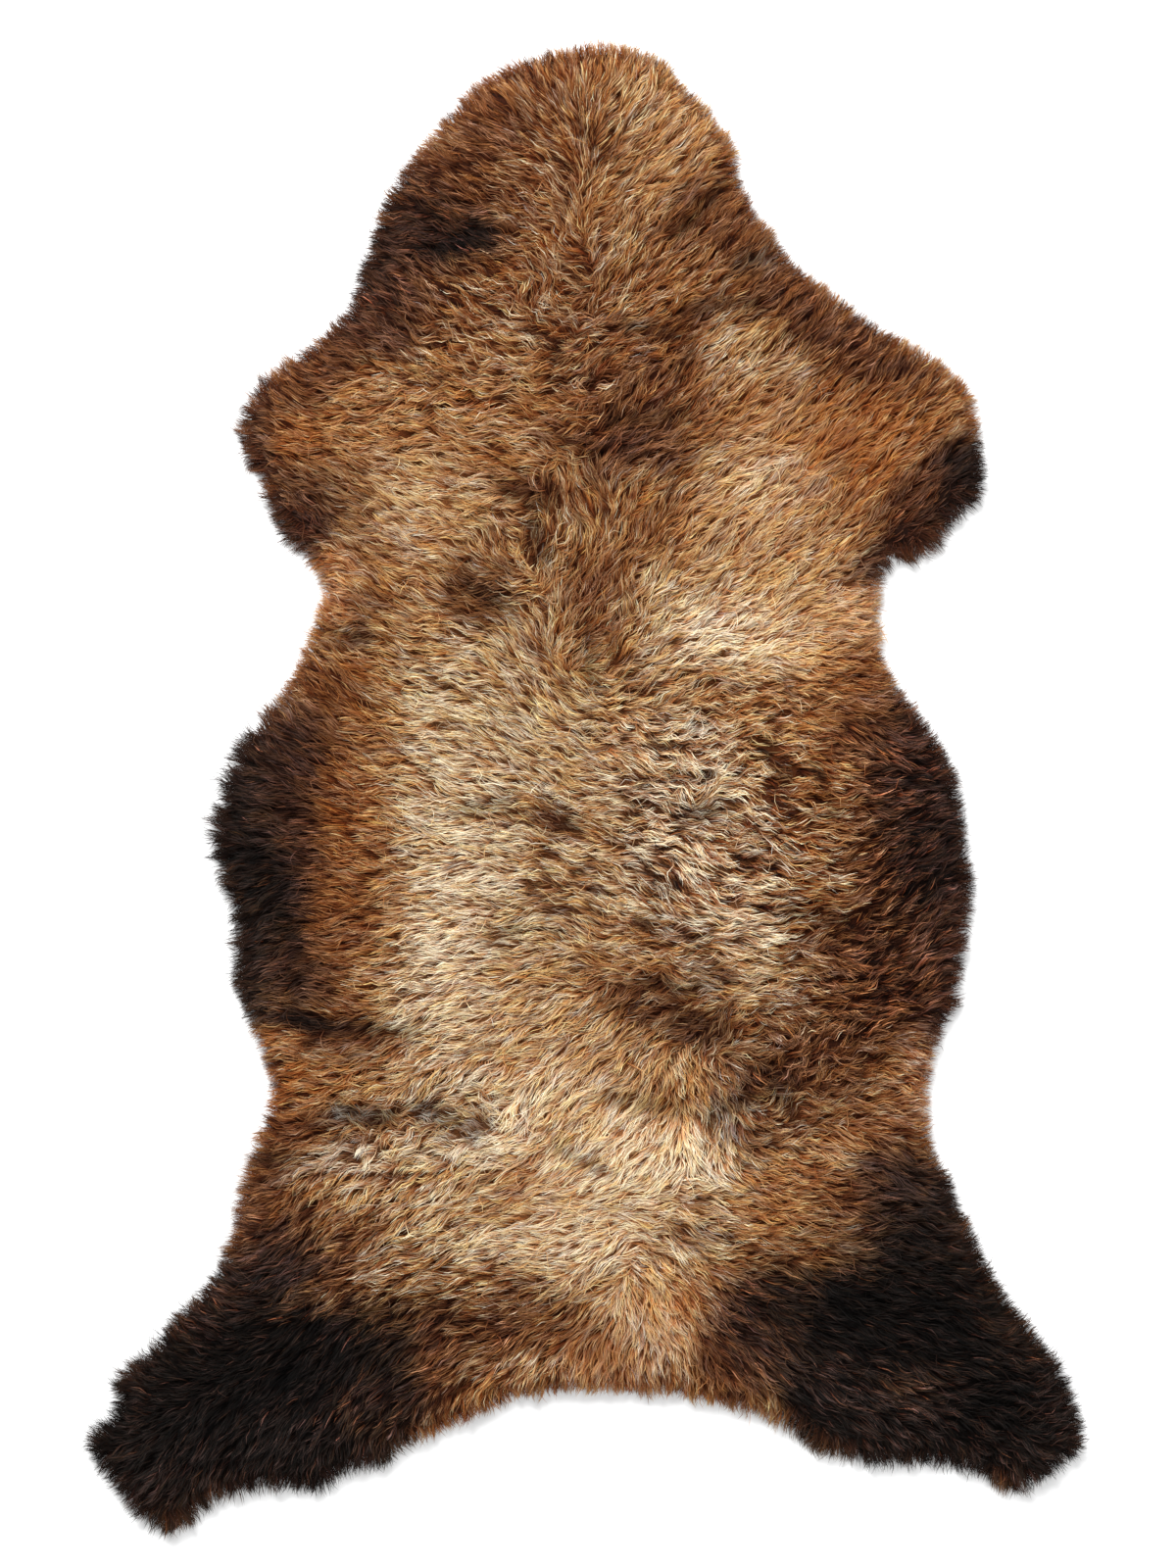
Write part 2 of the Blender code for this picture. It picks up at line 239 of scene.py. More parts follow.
# %% Brush strokes
LAY = (
    # crown and neck
    (470, 110, 148, 45), (530, 75, 128, 40), (590, 60, 96, 40), (650, 75, 62, 40), (700, 110, 45, 45),
    (440, 165, 158, 45), (505, 140, 150, 40), (560, 130, 140, 30), (592, 150, 92, 22), (630, 140, 50, 35),
    (690, 170, 42, 45), (420, 215, 168, 45), (490, 210, 158, 45), (550, 190, 148, 35), (592, 205, 90, 20),
    (640, 210, 42, 40), (710, 220, 46, 45), (400, 280, 140, 35), (470, 245, 176, 35), (450, 300, 150, 35),
    (520, 270, 140, 40), (570, 270, 128, 35), (640, 270, 46, 40), (700, 280, 46, 45), (760, 260, 50, 45),
    # shoulders and forelegs
    (380, 330, 150, 35), (500, 330, 162, 40), (570, 320, 140, 35), (620, 332, 14, 30), (680, 338, 14, 30),
    (750, 320, 34, 45), (830, 340, 38, 50), (310, 385, 178, 40), (380, 380, 165, 45), (450, 380, 150, 45),
    (530, 390, 165, 45), (600, 375, 36, 30), (660, 380, 36, 40), (740, 390, 40, 50), (830, 400, 40, 55),
    (920, 400, 44, 50), (970, 440, 50, 40), (270, 430, 150, 40), (340, 435, 180, 45), (420, 440, 178, 45),
    (500, 440, 176, 45), (570, 430, 176, 35), (640, 450, 40, 35), (710, 460, 38, 50), (800, 480, 38, 60),
    (900, 480, 44, 60), (960, 520, 46, 45), (285, 500, 138, 40), (350, 500, 150, 45), (430, 505, 166, 50),
    (510, 500, 166, 45), (560, 495, 76, 24), (605, 510, 112, 30), (645, 520, 70, 30), (700, 530, 42, 45),
    (790, 550, 38, 55), (880, 560, 30, 50),
    # waist
    (330, 560, 142, 40), (410, 560, 154, 45), (490, 560, 152, 45), (548, 560, 70, 24), (600, 580, 50, 30),
    (660, 590, 52, 40), (340, 620, 155, 40), (420, 635, 176, 45), (490, 640, 172, 40), (540, 650, 128, 26),
    (582, 650, 62, 24), (640, 650, 50, 35), (710, 620, 38, 45), (790, 640, 24, 50), (870, 640, 18, 45),
    (340, 700, 144, 45), (420, 700, 160, 45), (500, 705, 150, 45), (555, 710, 134, 30), (600, 715, 150, 26),
    (650, 700, 36, 35), (720, 700, 12, 45), (800, 700, 0, 50), (870, 700, 350, 40),
    # back and flanks
    (290, 770, 148, 45), (370, 770, 165, 50), (450, 770, 172, 50), (530, 765, 144, 45), (590, 770, 160, 35),
    (650, 770, 2, 35), (720, 770, 358, 50), (800, 775, 2, 50), (880, 770, 350, 50), (260, 850, 175, 50),
    (340, 850, 165, 50), (430, 840, 178, 55), (510, 840, 170, 50), (580, 840, 172, 40), (640, 840, 157, 35),
    (700, 840, 340, 40), (760, 850, 333, 45), (830, 850, 345, 50), (900, 850, 20, 50), (270, 920, 215, 45),
    (340, 920, 178, 45), (430, 915, 181, 55), (520, 915, 178, 50), (600, 910, 160, 45), (660, 905, 150, 30),
    (710, 895, 322, 35), (770, 910, 8, 40), (840, 920, 10, 50), (920, 920, 45, 50), (265, 980, 215, 40),
    (340, 985, 172, 45), (430, 985, 187, 55), (520, 980, 180, 50), (600, 980, 165, 45), (665, 970, 172, 30),
    (720, 970, 20, 35), (790, 970, 2, 50), (880, 980, 5, 50), (950, 980, 50, 40),
    # loin
    (300, 1050, 170, 45), (390, 1045, 192, 45), (470, 1040, 198, 45), (540, 1040, 206, 45),
    (610, 1045, 214, 40), (670, 1040, 195, 26), (730, 1045, 45, 30), (800, 1040, 5, 45),
    (880, 1040, 350, 50), (300, 1100, 192, 45), (390, 1100, 205, 45), (480, 1090, 219, 40),
    (560, 1110, 225, 50), (640, 1110, 230, 45), (710, 1110, 285, 30), (770, 1100, 320, 35),
    (850, 1100, 3, 50), (920, 1110, 355, 45), (300, 1160, 190, 45), (400, 1170, 200, 45),
    (480, 1180, 214, 40), (560, 1180, 222, 50), (650, 1180, 226, 45), (720, 1170, 290, 30),
    (790, 1180, 330, 40), (870, 1180, 345, 45), (930, 1180, 320, 40),
    # the whorl left of the loin
    (500, 1108, 330, 14), (532, 1128, 285, 14), (528, 1160, 240, 14), (495, 1180, 200, 16),
    (455, 1165, 190, 14), (450, 1130, 215, 14), (490, 1145, 250, 10),
    # rump
    (280, 1230, 222, 45), (350, 1230, 215, 45), (430, 1225, 212, 45), (510, 1235, 192, 45),
    (590, 1235, 182, 45), (665, 1235, 184, 30), (730, 1240, 358, 40), (810, 1240, 357, 45),
    (890, 1240, 4, 50), (960, 1240, 330, 40), (280, 1300, 210, 45), (360, 1290, 200, 45),
    (440, 1290, 186, 45), (530, 1290, 176, 45), (605, 1290, 218, 35), (680, 1290, 312, 40),
    (770, 1300, 354, 50), (870, 1300, 350, 60), (970, 1300, 345, 50),
    # tail and hind legs
    (240, 1345, 165, 45), (320, 1350, 214, 45), (400, 1345, 206, 45), (480, 1340, 184, 40),
    (550, 1350, 212, 40), (610, 1355, 232, 35), (655, 1340, 280, 30), (710, 1340, 300, 35),
    (770, 1360, 318, 45), (850, 1370, 322, 55), (940, 1370, 345, 55), (1030, 1360, 345, 45),
    (180, 1400, 165, 45), (260, 1410, 210, 50), (340, 1410, 229, 50), (430, 1400, 222, 45),
    (520, 1395, 222, 40), (590, 1400, 250, 35), (650, 1400, 278, 35), (710, 1400, 298, 35),
    (800, 1420, 322, 45), (900, 1430, 334, 55), (1000, 1420, 350, 50), (1070, 1420, 345, 40),
    (130, 1460, 195, 45), (200, 1460, 238, 40), (280, 1460, 236, 50), (370, 1450, 234, 45),
    (120, 1500, 225, 40), (190, 1530, 240, 45), (270, 1500, 252, 40), (960, 1470, 320, 45),
    (1040, 1480, 310, 45), (1090, 1460, 345, 40),
)
RIM_REACH = 16.0  # how far in from the edge the rim still turns the wool outwards, in millimetres
RIM_STRENGTH = 1.6
WAY_SOFTEN = 2.0  # the way changes more slowly from stroke to stroke than the grain
CLEAR_WAY = 0.7  # length of the mean arrow from which the way is clear


def stroke_weights(x, y, rows):
    """For each row, its value and exp(-r^2), r being the distance to its place over the row's reach."""
    for px, py, value, reach in rows:
        at_x, at_y = on_rug(px, py)
        yield value, np.exp(-((x - at_x) ** 2 + (y - at_y) ** 2) / (reach * PIXEL) ** 2)


def blended(times, soften):
    """The mean arrow of all strokes at a multiple of their angle, plus the rim's own outward arrow. Each
    weight is raised to the power one over soften, which widens the change from one stroke to the next."""
    arrow, total = np.zeros(MAP_X.shape + (2,)), 1e-9
    for degrees, weight in stroke_weights(MAP_X, MAP_Y, LAY):
        weight = weight ** (1 / soften)
        angle = times * np.radians(degrees)
        arrow += weight[..., None] * (np.cos(angle), np.sin(angle))
        total = total + weight
    outward = times * np.arctan2(OUTWARD[..., 1], OUTWARD[..., 0])
    rim = RIM_STRENGTH * np.exp(-((np.maximum(TO_EDGE, 0) / RIM_REACH) ** 2))
    return arrow / total[..., None] + rim[..., None] * np.stack([np.cos(outward), np.sin(outward)], axis=-1)


GRAIN = blended(times=2, soften=1.0)
WAY = blended(times=1, soften=WAY_SOFTEN)


def grain_at(x, y):
    """The unit vector along the grain: half the angle of the doubled arrow, which leaves its sign open."""
    double = read(GRAIN, x, y)
    angle = np.arctan2(double[..., 1], double[..., 0]) / 2
    return np.stack([np.cos(angle), np.sin(angle)], axis=-1)


MEETING = 1 - smooth(np.abs((grain_at(MAP_X, MAP_Y) * WAY).sum(axis=-1)), CLEAR_WAY)
print(f"{len(LAY)} brush strokes, and two ways meet on {(MEETING > 0.5)[TO_EDGE > 0].mean():.0%} of the pelt")

# %% [markdown]
# ## Combed noise
#
# Combed wool shows long light wisps with dark gaps between them, all along the lean. Plain noise is round,
# so it is combed: at each point it is averaged over a short walk forwards and backwards along the lean. What
# is left varies slowly along the wool and quickly across it.

# %% Noise drawn out along the lean
WALK = 9  # places on the walk
SPREADS = 1.6  # combed noise is given in this many times its own spread


def combed(x, y, pitch, reach, seed):
    """The sum of noise at 9 places on a walk along the grain, over 1.6 times its spread: mostly -1 to 1."""
    total, stride = noise(x, y, pitch, seed), reach / (WALK - 1)
    for way in (1, -1):
        at_x, at_y, ahead = x, y, way * grain_at(x, y)
        for _ in range(WALK // 2):
            at_x, at_y = at_x + stride * ahead[..., 0], at_y + stride * ahead[..., 1]
            total = total + noise(at_x, at_y, pitch, seed)
            grain = grain_at(at_x, at_y)
            ahead = grain * np.sign((grain * ahead).sum(axis=-1, keepdims=True) + 1e-9)
    return total / (SPREADS * total.std())


# %% [markdown]
# ## Curly places, partings and the height of the pile
#
# Some patches are crimped every way, such as the nape and the hollow right of the spine: a row has the
# place, the strength and the reach. Partings are short dark lines where the locks on either side lean apart:
# a row has both ends in pixels, then the half width and depth in millimetres. Each lies in a trough of the
# pile, and its dark is painted shade on the strands there. The height follows the CAD solid: low at the rim,
# rising over 45 mm to about 27 mm, with a broad unevenness, and a trough at each parting.

# %% Curls, partings and pile height
CURLS = (
    (560, 290, 1.0, 70), (600, 400, 0.5, 60), (460, 400, 0.6, 60), (480, 340, 0.5, 40),
    (820, 1060, 0.6, 60), (380, 1160, 0.7, 50), (620, 620, 0.6, 60), (740, 800, 0.7, 90),
    (700, 740, 0.6, 60), (560, 840, 0.6, 30), (790, 1110, 1.1, 60), (490, 1135, 1.2, 45),
    (680, 1020, 0.6, 60), (520, 560, 0.6, 60), (860, 1000, 0.5, 60), (400, 1150, 0.7, 50),
    (1050, 1450, 0.9, 50), (360, 640, 0.4, 40), (440, 230, 0.3, 50),
)
PARTINGS = (
    (300, 940, 305, 1030, 7, 5), (300, 1040, 420, 1052, 6, 5), (325, 642, 372, 650, 5, 5),
    (470, 830, 520, 815, 5, 4), (575, 838, 592, 850, 5, 4), (495, 960, 530, 945, 4, 3),
    (690, 1035, 735, 1050, 6, 4), (660, 1000, 700, 1010, 5, 4), (780, 760, 800, 800, 6, 4),
    (830, 780, 850, 830, 5, 4), (800, 930, 860, 940, 6, 4), (775, 1085, 800, 1125, 6, 4),
    (620, 1120, 700, 1125, 5, 3), (725, 1128, 765, 1122, 6, 4), (430, 1125, 470, 1145, 6, 4),
    (350, 1130, 400, 1140, 6, 4), (265, 1180, 300, 1178, 6, 5), (570, 1170, 620, 1195, 4, 3),
    (380, 205, 430, 215, 6, 4), (350, 300, 390, 250, 7, 3), (540, 535, 560, 570, 6, 4),
    (510, 500, 560, 520, 5, 4), (480, 600, 520, 620, 7, 4), (620, 430, 700, 425, 6, 4),
    (640, 335, 700, 345, 6, 3), (700, 316, 775, 312, 6, 4), (690, 240, 740, 190, 6, 3),
    (750, 272, 785, 262, 5, 3), (600, 640, 605, 700, 6, 3), (930, 860, 935, 900, 6, 3),
    (700, 830, 740, 825, 6, 4),
)
RIM_HEIGHT, SHOULDER, PILE = 12.5, 20.0, 27.0  # where the locks start, a little inside, and on the back
PILE_RISE = 45.0
SHOULDER_AT = 0.16  # as a share of the rise
LOWEST_PILE = 15.0
SWELL, SWELL_NOISE = 2.6, (95.0, 11)
LUMP, LUMP_NOISE = 1.6, (17.0, 12)
MEETING_CURL = 0.3

CURL = MEETING_CURL * MEETING
CURL += sum(strength * weight for strength, weight in stroke_weights(MAP_X, MAP_Y, CURLS))


def trough(x, y, rows):
    """Depth and nearness of the partings: exp(-r^2), r being the distance to the line over its half width."""
    deep, near = np.zeros(x.shape), np.zeros(x.shape)
    for ax, ay, bx, by, half_width, depth in rows:
        _, away = to_segment(x, y, on_rug(ax, ay), on_rug(bx, by))
        bell = np.exp(-((away / half_width) ** 2))
        deep += depth * bell
        near = np.maximum(near, bell)
    return deep, near


PARTED, PARTING = trough(MAP_X, MAP_Y, PARTINGS)
inward = np.clip(rim_level / PILE_RISE, 0, 1)
steep_rise = RIM_HEIGHT + (SHOULDER - RIM_HEIGHT) * smooth(inward / SHOULDER_AT)
flat_rise = SHOULDER + (PILE - SHOULDER) * np.sin((inward - SHOULDER_AT) / (1 - SHOULDER_AT) * np.pi / 2)
rise = np.where(inward < SHOULDER_AT, steep_rise, flat_rise)
HEIGHT = rise + SWELL * inward * noise(MAP_X, MAP_Y, *SWELL_NOISE) - PARTED
HEIGHT += LUMP * inward * noise(MAP_X, MAP_Y, *LUMP_NOISE)
HEIGHT = np.maximum(HEIGHT, np.minimum(rise, LOWEST_PILE))
print(f"pile from {HEIGHT[TO_EDGE > 8].min():.0f} to {HEIGHT[TO_EDGE > 8].max():.0f} mm high")

# %% [markdown]
# ## The colours of the fleece
#
# A brown sheep is sun-bleached along its back and nearly black on its legs and flanks. The tones are named
# as a dyer would name them, and given as screen values. They are laid on with an airbrush: each row tints an
# oval, given in pixels by its middle and two half sizes, then its turn in degrees and its strength, over
# what is there already, and later rows lie on top. The map is then turned to linear light, because shaders
# work in it.

# %% Named tones and airbrush strokes
TONES = {
    "black": (16, 14, 14), "jet": (27, 23, 23), "soot": (36, 28, 25), "coffee": (56, 38, 30),
    "umber": (80, 50, 32), "chestnut": (106, 66, 40), "rust": (124, 76, 42), "brown": (134, 93, 58),
    "fawn": (152, 114, 76), "honey": (173, 145, 106), "straw": (190, 167, 131), "cream": (203, 187, 156),
    "rose": (172, 130, 100), "slate": (100, 88, 78), "silver": (156, 134, 110),
}
AIRBRUSH = (
    # the light shoulders, back and rump
    ("fawn", 600, 540, 290, 260, 0, 0.4), ("fawn", 600, 900, 300, 330, 0, 0.5),
    ("honey", 520, 880, 140, 260, 0, 0.7), ("honey", 600, 1200, 230, 110, 0, 0.8),
    ("straw", 465, 880, 68, 190, 0, 0.75), ("straw", 450, 1010, 64, 80, 0, 0.6),
    ("cream", 460, 905, 30, 70, 0, 0.5), ("cream", 435, 1000, 30, 44, 0, 0.5),
    ("honey", 520, 700, 100, 70, 0, 0.5), ("fawn", 640, 820, 50, 160, 0, 0.6),
    ("honey", 770, 610, 130, 80, 0, 0.6), ("straw", 745, 645, 84, 46, 0, 0.6),
    # the neck
    ("fawn", 655, 140, 62, 90, -15, 0.7), ("honey", 660, 100, 36, 40, -20, 0.5),
    ("chestnut", 520, 100, 70, 46, 30, 0.75), ("umber", 500, 125, 34, 30, 40, 0.7),
    ("silver", 442, 140, 26, 30, 45, 0.5), ("umber", 465, 180, 60, 34, 15, 0.8),
    ("chestnut", 550, 190, 44, 40, 0, 0.5), ("coffee", 420, 200, 40, 40, 20, 0.75),
    ("black", 450, 240, 54, 31, 6, 0.95), ("coffee", 385, 295, 50, 66, -30, 0.95),
    ("umber", 350, 355, 56, 30, 48, 0.85), ("umber", 305, 388, 60, 24, 28, 0.85),
    ("chestnut", 450, 295, 60, 28, 0, 0.7), ("chestnut", 420, 345, 60, 26, 10, 0.6),
    ("rust", 545, 300, 60, 60, 0, 0.4), ("honey", 642, 243, 34, 12, 20, 0.6),
    ("umber", 690, 224, 40, 15, 42, 0.85), ("chestnut", 745, 220, 34, 46, -35, 0.75),
    ("umber", 784, 272, 46, 30, -38, 0.75), ("slate", 766, 266, 22, 9, 12, 0.6),
    ("rust", 715, 290, 60, 22, 10, 0.5), ("umber", 610, 330, 34, 12, 0, 0.7),
    ("umber", 690, 325, 66, 15, 12, 0.8), ("chestnut", 550, 320, 150, 76, 0, 0.35),
    ("chestnut", 550, 150, 130, 100, 0, 0.35), ("umber", 600, 250, 220, 200, 0, 0.1),
    ("rust", 800, 450, 160, 120, 0, 0.15), ("umber", 480, 140, 50, 60, 40, 0.45),
    ("chestnut", 500, 215, 50, 60, 0, 0.45), ("coffee", 405, 270, 40, 60, 20, 0.6),
    ("coffee", 465, 238, 64, 40, 10, 0.6), ("black", 475, 248, 46, 18, 12, 0.8),
    ("coffee", 372, 335, 44, 40, 0, 0.6), ("chestnut", 700, 250, 50, 30, 20, 0.6),
    ("umber", 735, 232, 40, 24, 40, 0.55), ("umber", 780, 300, 50, 30, -30, 0.6),
    ("umber", 700, 205, 30, 10, 42, 0.6), ("chestnut", 640, 345, 90, 30, 0, 0.4),
    # the shoulders and forelegs
    ("rust", 430, 440, 150, 90, 0, 0.2), ("umber", 822, 316, 56, 28, -35, 0.85),
    ("umber", 890, 366, 54, 40, -32, 0.85), ("chestnut", 840, 400, 60, 26, -25, 0.5),
    ("chestnut", 640, 410, 96, 60, 0, 0.65), ("umber", 640, 448, 66, 34, 0, 0.75),
    ("umber", 668, 375, 44, 15, 10, 0.6), ("honey", 765, 365, 52, 34, 0, 0.5),
    ("fawn", 520, 380, 50, 50, 0, 0.4), ("straw", 775, 492, 66, 40, 0, 0.5),
    ("rust", 895, 460, 66, 50, 0, 0.65), ("coffee", 970, 506, 42, 60, -25, 0.95),
    ("black", 998, 480, 20, 30, 0, 0.7), ("umber", 926, 520, 30, 40, -30, 0.75),
    ("coffee", 915, 572, 64, 22, 14, 0.9), ("rust", 300, 455, 40, 36, 0, 0.7),
    ("umber", 256, 480, 20, 50, 20, 0.9), ("coffee", 292, 540, 34, 38, 40, 0.92),
    ("umber", 330, 515, 40, 34, 30, 0.6), ("honey", 430, 515, 76, 56, 0, 0.6),
    ("umber", 546, 502, 22, 11, -35, 0.8), ("chestnut", 500, 480, 30, 14, 0, 0.4),
    ("umber", 850, 335, 70, 30, -32, 0.6), ("umber", 915, 385, 60, 30, -32, 0.6),
    ("umber", 620, 435, 66, 34, 5, 0.55), ("coffee", 640, 455, 56, 16, 5, 0.55),
    ("umber", 650, 395, 36, 18, 20, 0.5), ("chestnut", 640, 500, 70, 40, 0, 0.4),
    ("umber", 690, 470, 30, 16, 0, 0.5), ("chestnut", 570, 400, 60, 40, 0, 0.35),
    ("rust", 900, 430, 60, 40, 0, 0.4), ("coffee", 262, 440, 22, 44, 10, 0.7),
    ("umber", 300, 415, 40, 24, 20, 0.5), ("coffee", 300, 515, 40, 50, 35, 0.6),
    ("soot", 988, 500, 26, 50, -10, 0.7), ("coffee", 940, 550, 50, 30, 10, 0.7),
    ("umber", 545, 495, 24, 16, -35, 0.5), ("umber", 605, 470, 20, 16, 0, 0.5),
    ("rust", 520, 430, 70, 40, 0, 0.3),
    # the waist
    ("rose", 336, 600, 30, 46, 0, 0.2), ("umber", 372, 622, 26, 16, 0, 0.6),
    ("coffee", 358, 650, 26, 9, 15, 0.75), ("umber", 484, 604, 30, 34, 20, 0.85),
    ("umber", 548, 556, 18, 22, 0, 0.7), ("chestnut", 612, 600, 34, 44, 0, 0.7),
    ("chestnut", 655, 560, 40, 30, 0, 0.6), ("chestnut", 680, 530, 30, 16, 0, 0.4),
    ("brown", 560, 640, 34, 24, 0, 0.4), ("rose", 876, 620, 34, 50, 0, 0.25),
    ("chestnut", 330, 700, 50, 28, 0, 0.7), ("umber", 350, 716, 40, 18, 0, 0.7),
    ("cream", 720, 655, 40, 26, 0, 0.4), ("chestnut", 868, 700, 34, 36, 0, 0.7),
    ("umber", 500, 606, 30, 40, 25, 0.6), ("chestnut", 605, 610, 26, 50, 0, 0.5),
    ("brown", 600, 680, 60, 34, 0, 0.45), ("umber", 596, 575, 12, 20, 0, 0.5),
    ("brown", 540, 620, 40, 40, 0, 0.4), ("umber", 622, 655, 12, 20, 0, 0.35),
    ("cream", 745, 640, 50, 26, 0, 0.35),
    # the left flank
    ("brown", 372, 860, 44, 190, 0, 0.8), ("rust", 340, 860, 44, 160, 0, 0.8),
    ("umber", 318, 830, 32, 140, 0, 0.85), ("coffee", 296, 870, 30, 140, 0, 0.85),
    ("coffee", 262, 770, 56, 50, 40, 0.85), ("soot", 236, 840, 50, 110, 0, 0.95),
    ("black", 262, 925, 34, 80, 0, 0.75), ("soot", 250, 1010, 44, 66, 0, 0.92),
    ("umber", 335, 950, 30, 70, 0, 0.7), ("coffee", 305, 990, 26, 40, 0, 0.8),
    ("umber", 335, 1045, 50, 24, 0, 0.85), ("rust", 345, 900, 34, 110, 0, 0.5),
    ("coffee", 310, 800, 26, 60, 10, 0.5), ("soot", 318, 1043, 46, 12, 0, 0.75),
    ("black", 302, 1041, 20, 8, 0, 0.6), ("umber", 375, 1062, 34, 16, -15, 0.7),
    # the right flank
    ("brown", 820, 840, 44, 120, 0, 0.6), ("rust", 862, 820, 34, 130, 0, 0.7),
    ("umber", 900, 760, 44, 60, 20, 0.8), ("coffee", 945, 780, 44, 66, 20, 0.92),
    ("umber", 895, 890, 34, 120, 0, 0.85), ("soot", 965, 880, 60, 110, 0, 0.92),
    ("black", 945, 885, 30, 54, 0, 0.75), ("coffee", 985, 990, 56, 80, 0, 0.92),
    ("umber", 860, 1000, 76, 60, 0, 0.75), ("umber", 925, 1020, 50, 60, 0, 0.85),
    ("umber", 880, 960, 70, 110, 0, 0.3), ("coffee", 970, 1045, 36, 30, 20, 0.7),
    ("chestnut", 830, 930, 34, 50, 0, 0.5), ("coffee", 915, 980, 50, 80, 0, 0.3),
    ("umber", 865, 900, 26, 90, 0, 0.4), ("coffee", 930, 830, 40, 90, 10, 0.6),
    ("umber", 850, 1050, 60, 50, 0, 0.5),
    # the back
    ("umber", 566, 841, 22, 13, 0, 0.8), ("brown", 560, 900, 26, 60, 0, 0.5),
    ("silver", 690, 760, 40, 40, 0, 0.4), ("straw", 742, 800, 28, 20, 0, 0.8),
    ("silver", 690, 865, 40, 50, 0, 0.6), ("silver", 745, 890, 30, 36, 0, 0.5),
    ("straw", 755, 945, 36, 40, -30, 0.7), ("slate", 690, 945, 34, 22, 0, 0.5),
    ("umber", 722, 828, 30, 11, -20, 0.7), ("chestnut", 800, 850, 26, 60, 0, 0.4),
    ("brown", 610, 1000, 46, 30, 0, 0.7), ("umber", 655, 1012, 34, 12, 0, 0.5),
    ("umber", 700, 1042, 50, 16, 0, 0.7), ("honey", 788, 1002, 20, 13, 0, 0.8),
    ("brown", 520, 1000, 40, 16, 0, 0.4), ("straw", 630, 920, 30, 30, 0, 0.4),
    ("straw", 720, 860, 80, 100, 0, 0.35), ("silver", 690, 790, 60, 60, 0, 0.3),
    ("straw", 640, 780, 40, 60, 0, 0.3), ("umber", 690, 1040, 60, 30, 0, 0.5),
    ("umber", 640, 1008, 44, 16, 0, 0.6), ("slate", 715, 1000, 40, 14, -10, 0.4),
    ("coffee", 700, 1052, 26, 10, 0, 0.5), ("brown", 800, 930, 30, 30, 0, 0.5),
    ("umber", 770, 850, 14, 40, 0, 0.35), ("umber", 735, 850, 26, 8, -20, 0.5),
    ("brown", 640, 960, 40, 30, 0, 0.35), ("umber", 560, 838, 26, 10, 0, 0.5),
    # the loin
    ("rust", 285, 1100, 40, 40, 0, 0.8), ("brown", 375, 1085, 44, 30, 0, 0.7),
    ("chestnut", 300, 1150, 44, 26, 0, 0.7), ("slate", 345, 1138, 34, 11, 0, 0.8),
    ("slate", 440, 1140, 12, 16, 0, 0.6), ("cream", 528, 1130, 24, 36, -20, 0.8),
    ("cream", 475, 1168, 40, 13, 25, 0.7), ("slate", 500, 1142, 13, 14, 0, 0.7),
    ("silver", 340, 1180, 60, 18, 8, 0.8), ("umber", 275, 1185, 28, 16, 0, 0.8),
    ("straw", 560, 1110, 60, 36, 0, 0.6), ("rust", 545, 1212, 50, 18, 0, 0.6),
    ("slate", 744, 1140, 22, 18, 0, 0.6), ("umber", 790, 1085, 50, 34, 0, 0.7),
    ("umber", 850, 1080, 50, 40, 0, 0.6), ("chestnut", 900, 1140, 50, 36, 0, 0.7),
    ("rose", 946, 1100, 22, 50, 0, 0.5), ("brown", 790, 1165, 40, 30, 0, 0.5),
    ("umber", 770, 1080, 50, 44, 0, 0.5), ("coffee", 780, 1100, 26, 20, 0, 0.5),
    ("umber", 770, 1150, 30, 20, 0, 0.5), ("umber", 840, 1120, 40, 30, 0, 0.4),
    ("cream", 520, 1150, 22, 20, 0, 0.6), ("slate", 385, 1140, 50, 12, 0, 0.5),
    ("cream", 385, 1178, 50, 12, 5, 0.35), ("rust", 520, 1200, 46, 12, 15, 0.5),
    ("umber", 300, 1150, 50, 16, 0, 0.4), ("brown", 690, 1110, 40, 20, 0, 0.4),
    ("slate", 488, 1140, 12, 16, 0, 0.6), ("cream", 470, 1112, 30, 8, 0, 0.5),
    ("cream", 505, 1175, 36, 12, 20, 0.8),
    # the rump
    ("cream", 650, 1180, 80, 44, 0, 0.6), ("straw", 570, 1250, 90, 44, 0, 0.6),
    ("rust", 800, 1230, 60, 50, 0, 0.5), ("fawn", 380, 1240, 50, 50, 0, 0.6),
    ("umber", 275, 1235, 50, 44, 30, 0.9), ("chestnut", 345, 1290, 40, 30, 20, 0.7),
    ("umber", 715, 1258, 40, 11, -15, 0.6), ("rust", 810, 1275, 50, 22, 10, 0.5),
    ("umber", 868, 1225, 40, 36, 30, 0.75), ("coffee", 905, 1190, 44, 26, 0, 0.85),
    ("chestnut", 590, 1370, 50, 30, 0, 0.5), ("umber", 515, 1372, 34, 24, 0, 0.8),
    ("honey", 690, 1345, 26, 40, 20, 0.7), ("chestnut", 735, 1320, 34, 30, 0, 0.7),
    ("rose", 585, 1402, 110, 13, 0, 0.3), ("chestnut", 715, 1412, 60, 13, -12, 0.6),
    ("silver", 672, 1368, 44, 36, 0, 0.6), ("chestnut", 475, 1440, 70, 24, -25, 0.6),
    ("honey", 630, 1310, 60, 40, 0, 0.6), ("cream", 640, 1190, 110, 40, 0, 0.2),
    ("straw", 620, 1270, 110, 30, 0, 0.4), ("cream", 700, 1210, 40, 20, 0, 0.3),
    ("umber", 535, 1345, 60, 36, 0, 0.6), ("umber", 460, 1360, 44, 40, 20, 0.5),
    ("brown", 715, 1350, 40, 50, 0, 0.5), ("umber", 735, 1370, 24, 40, 0, 0.6),
    ("umber", 350, 1275, 44, 26, 25, 0.6), ("rust", 815, 1210, 50, 40, 0, 0.35),
    ("cream", 530, 1268, 90, 18, 0, 0.4), ("cream", 620, 1240, 40, 16, 0, 0.35),
    # the hind legs
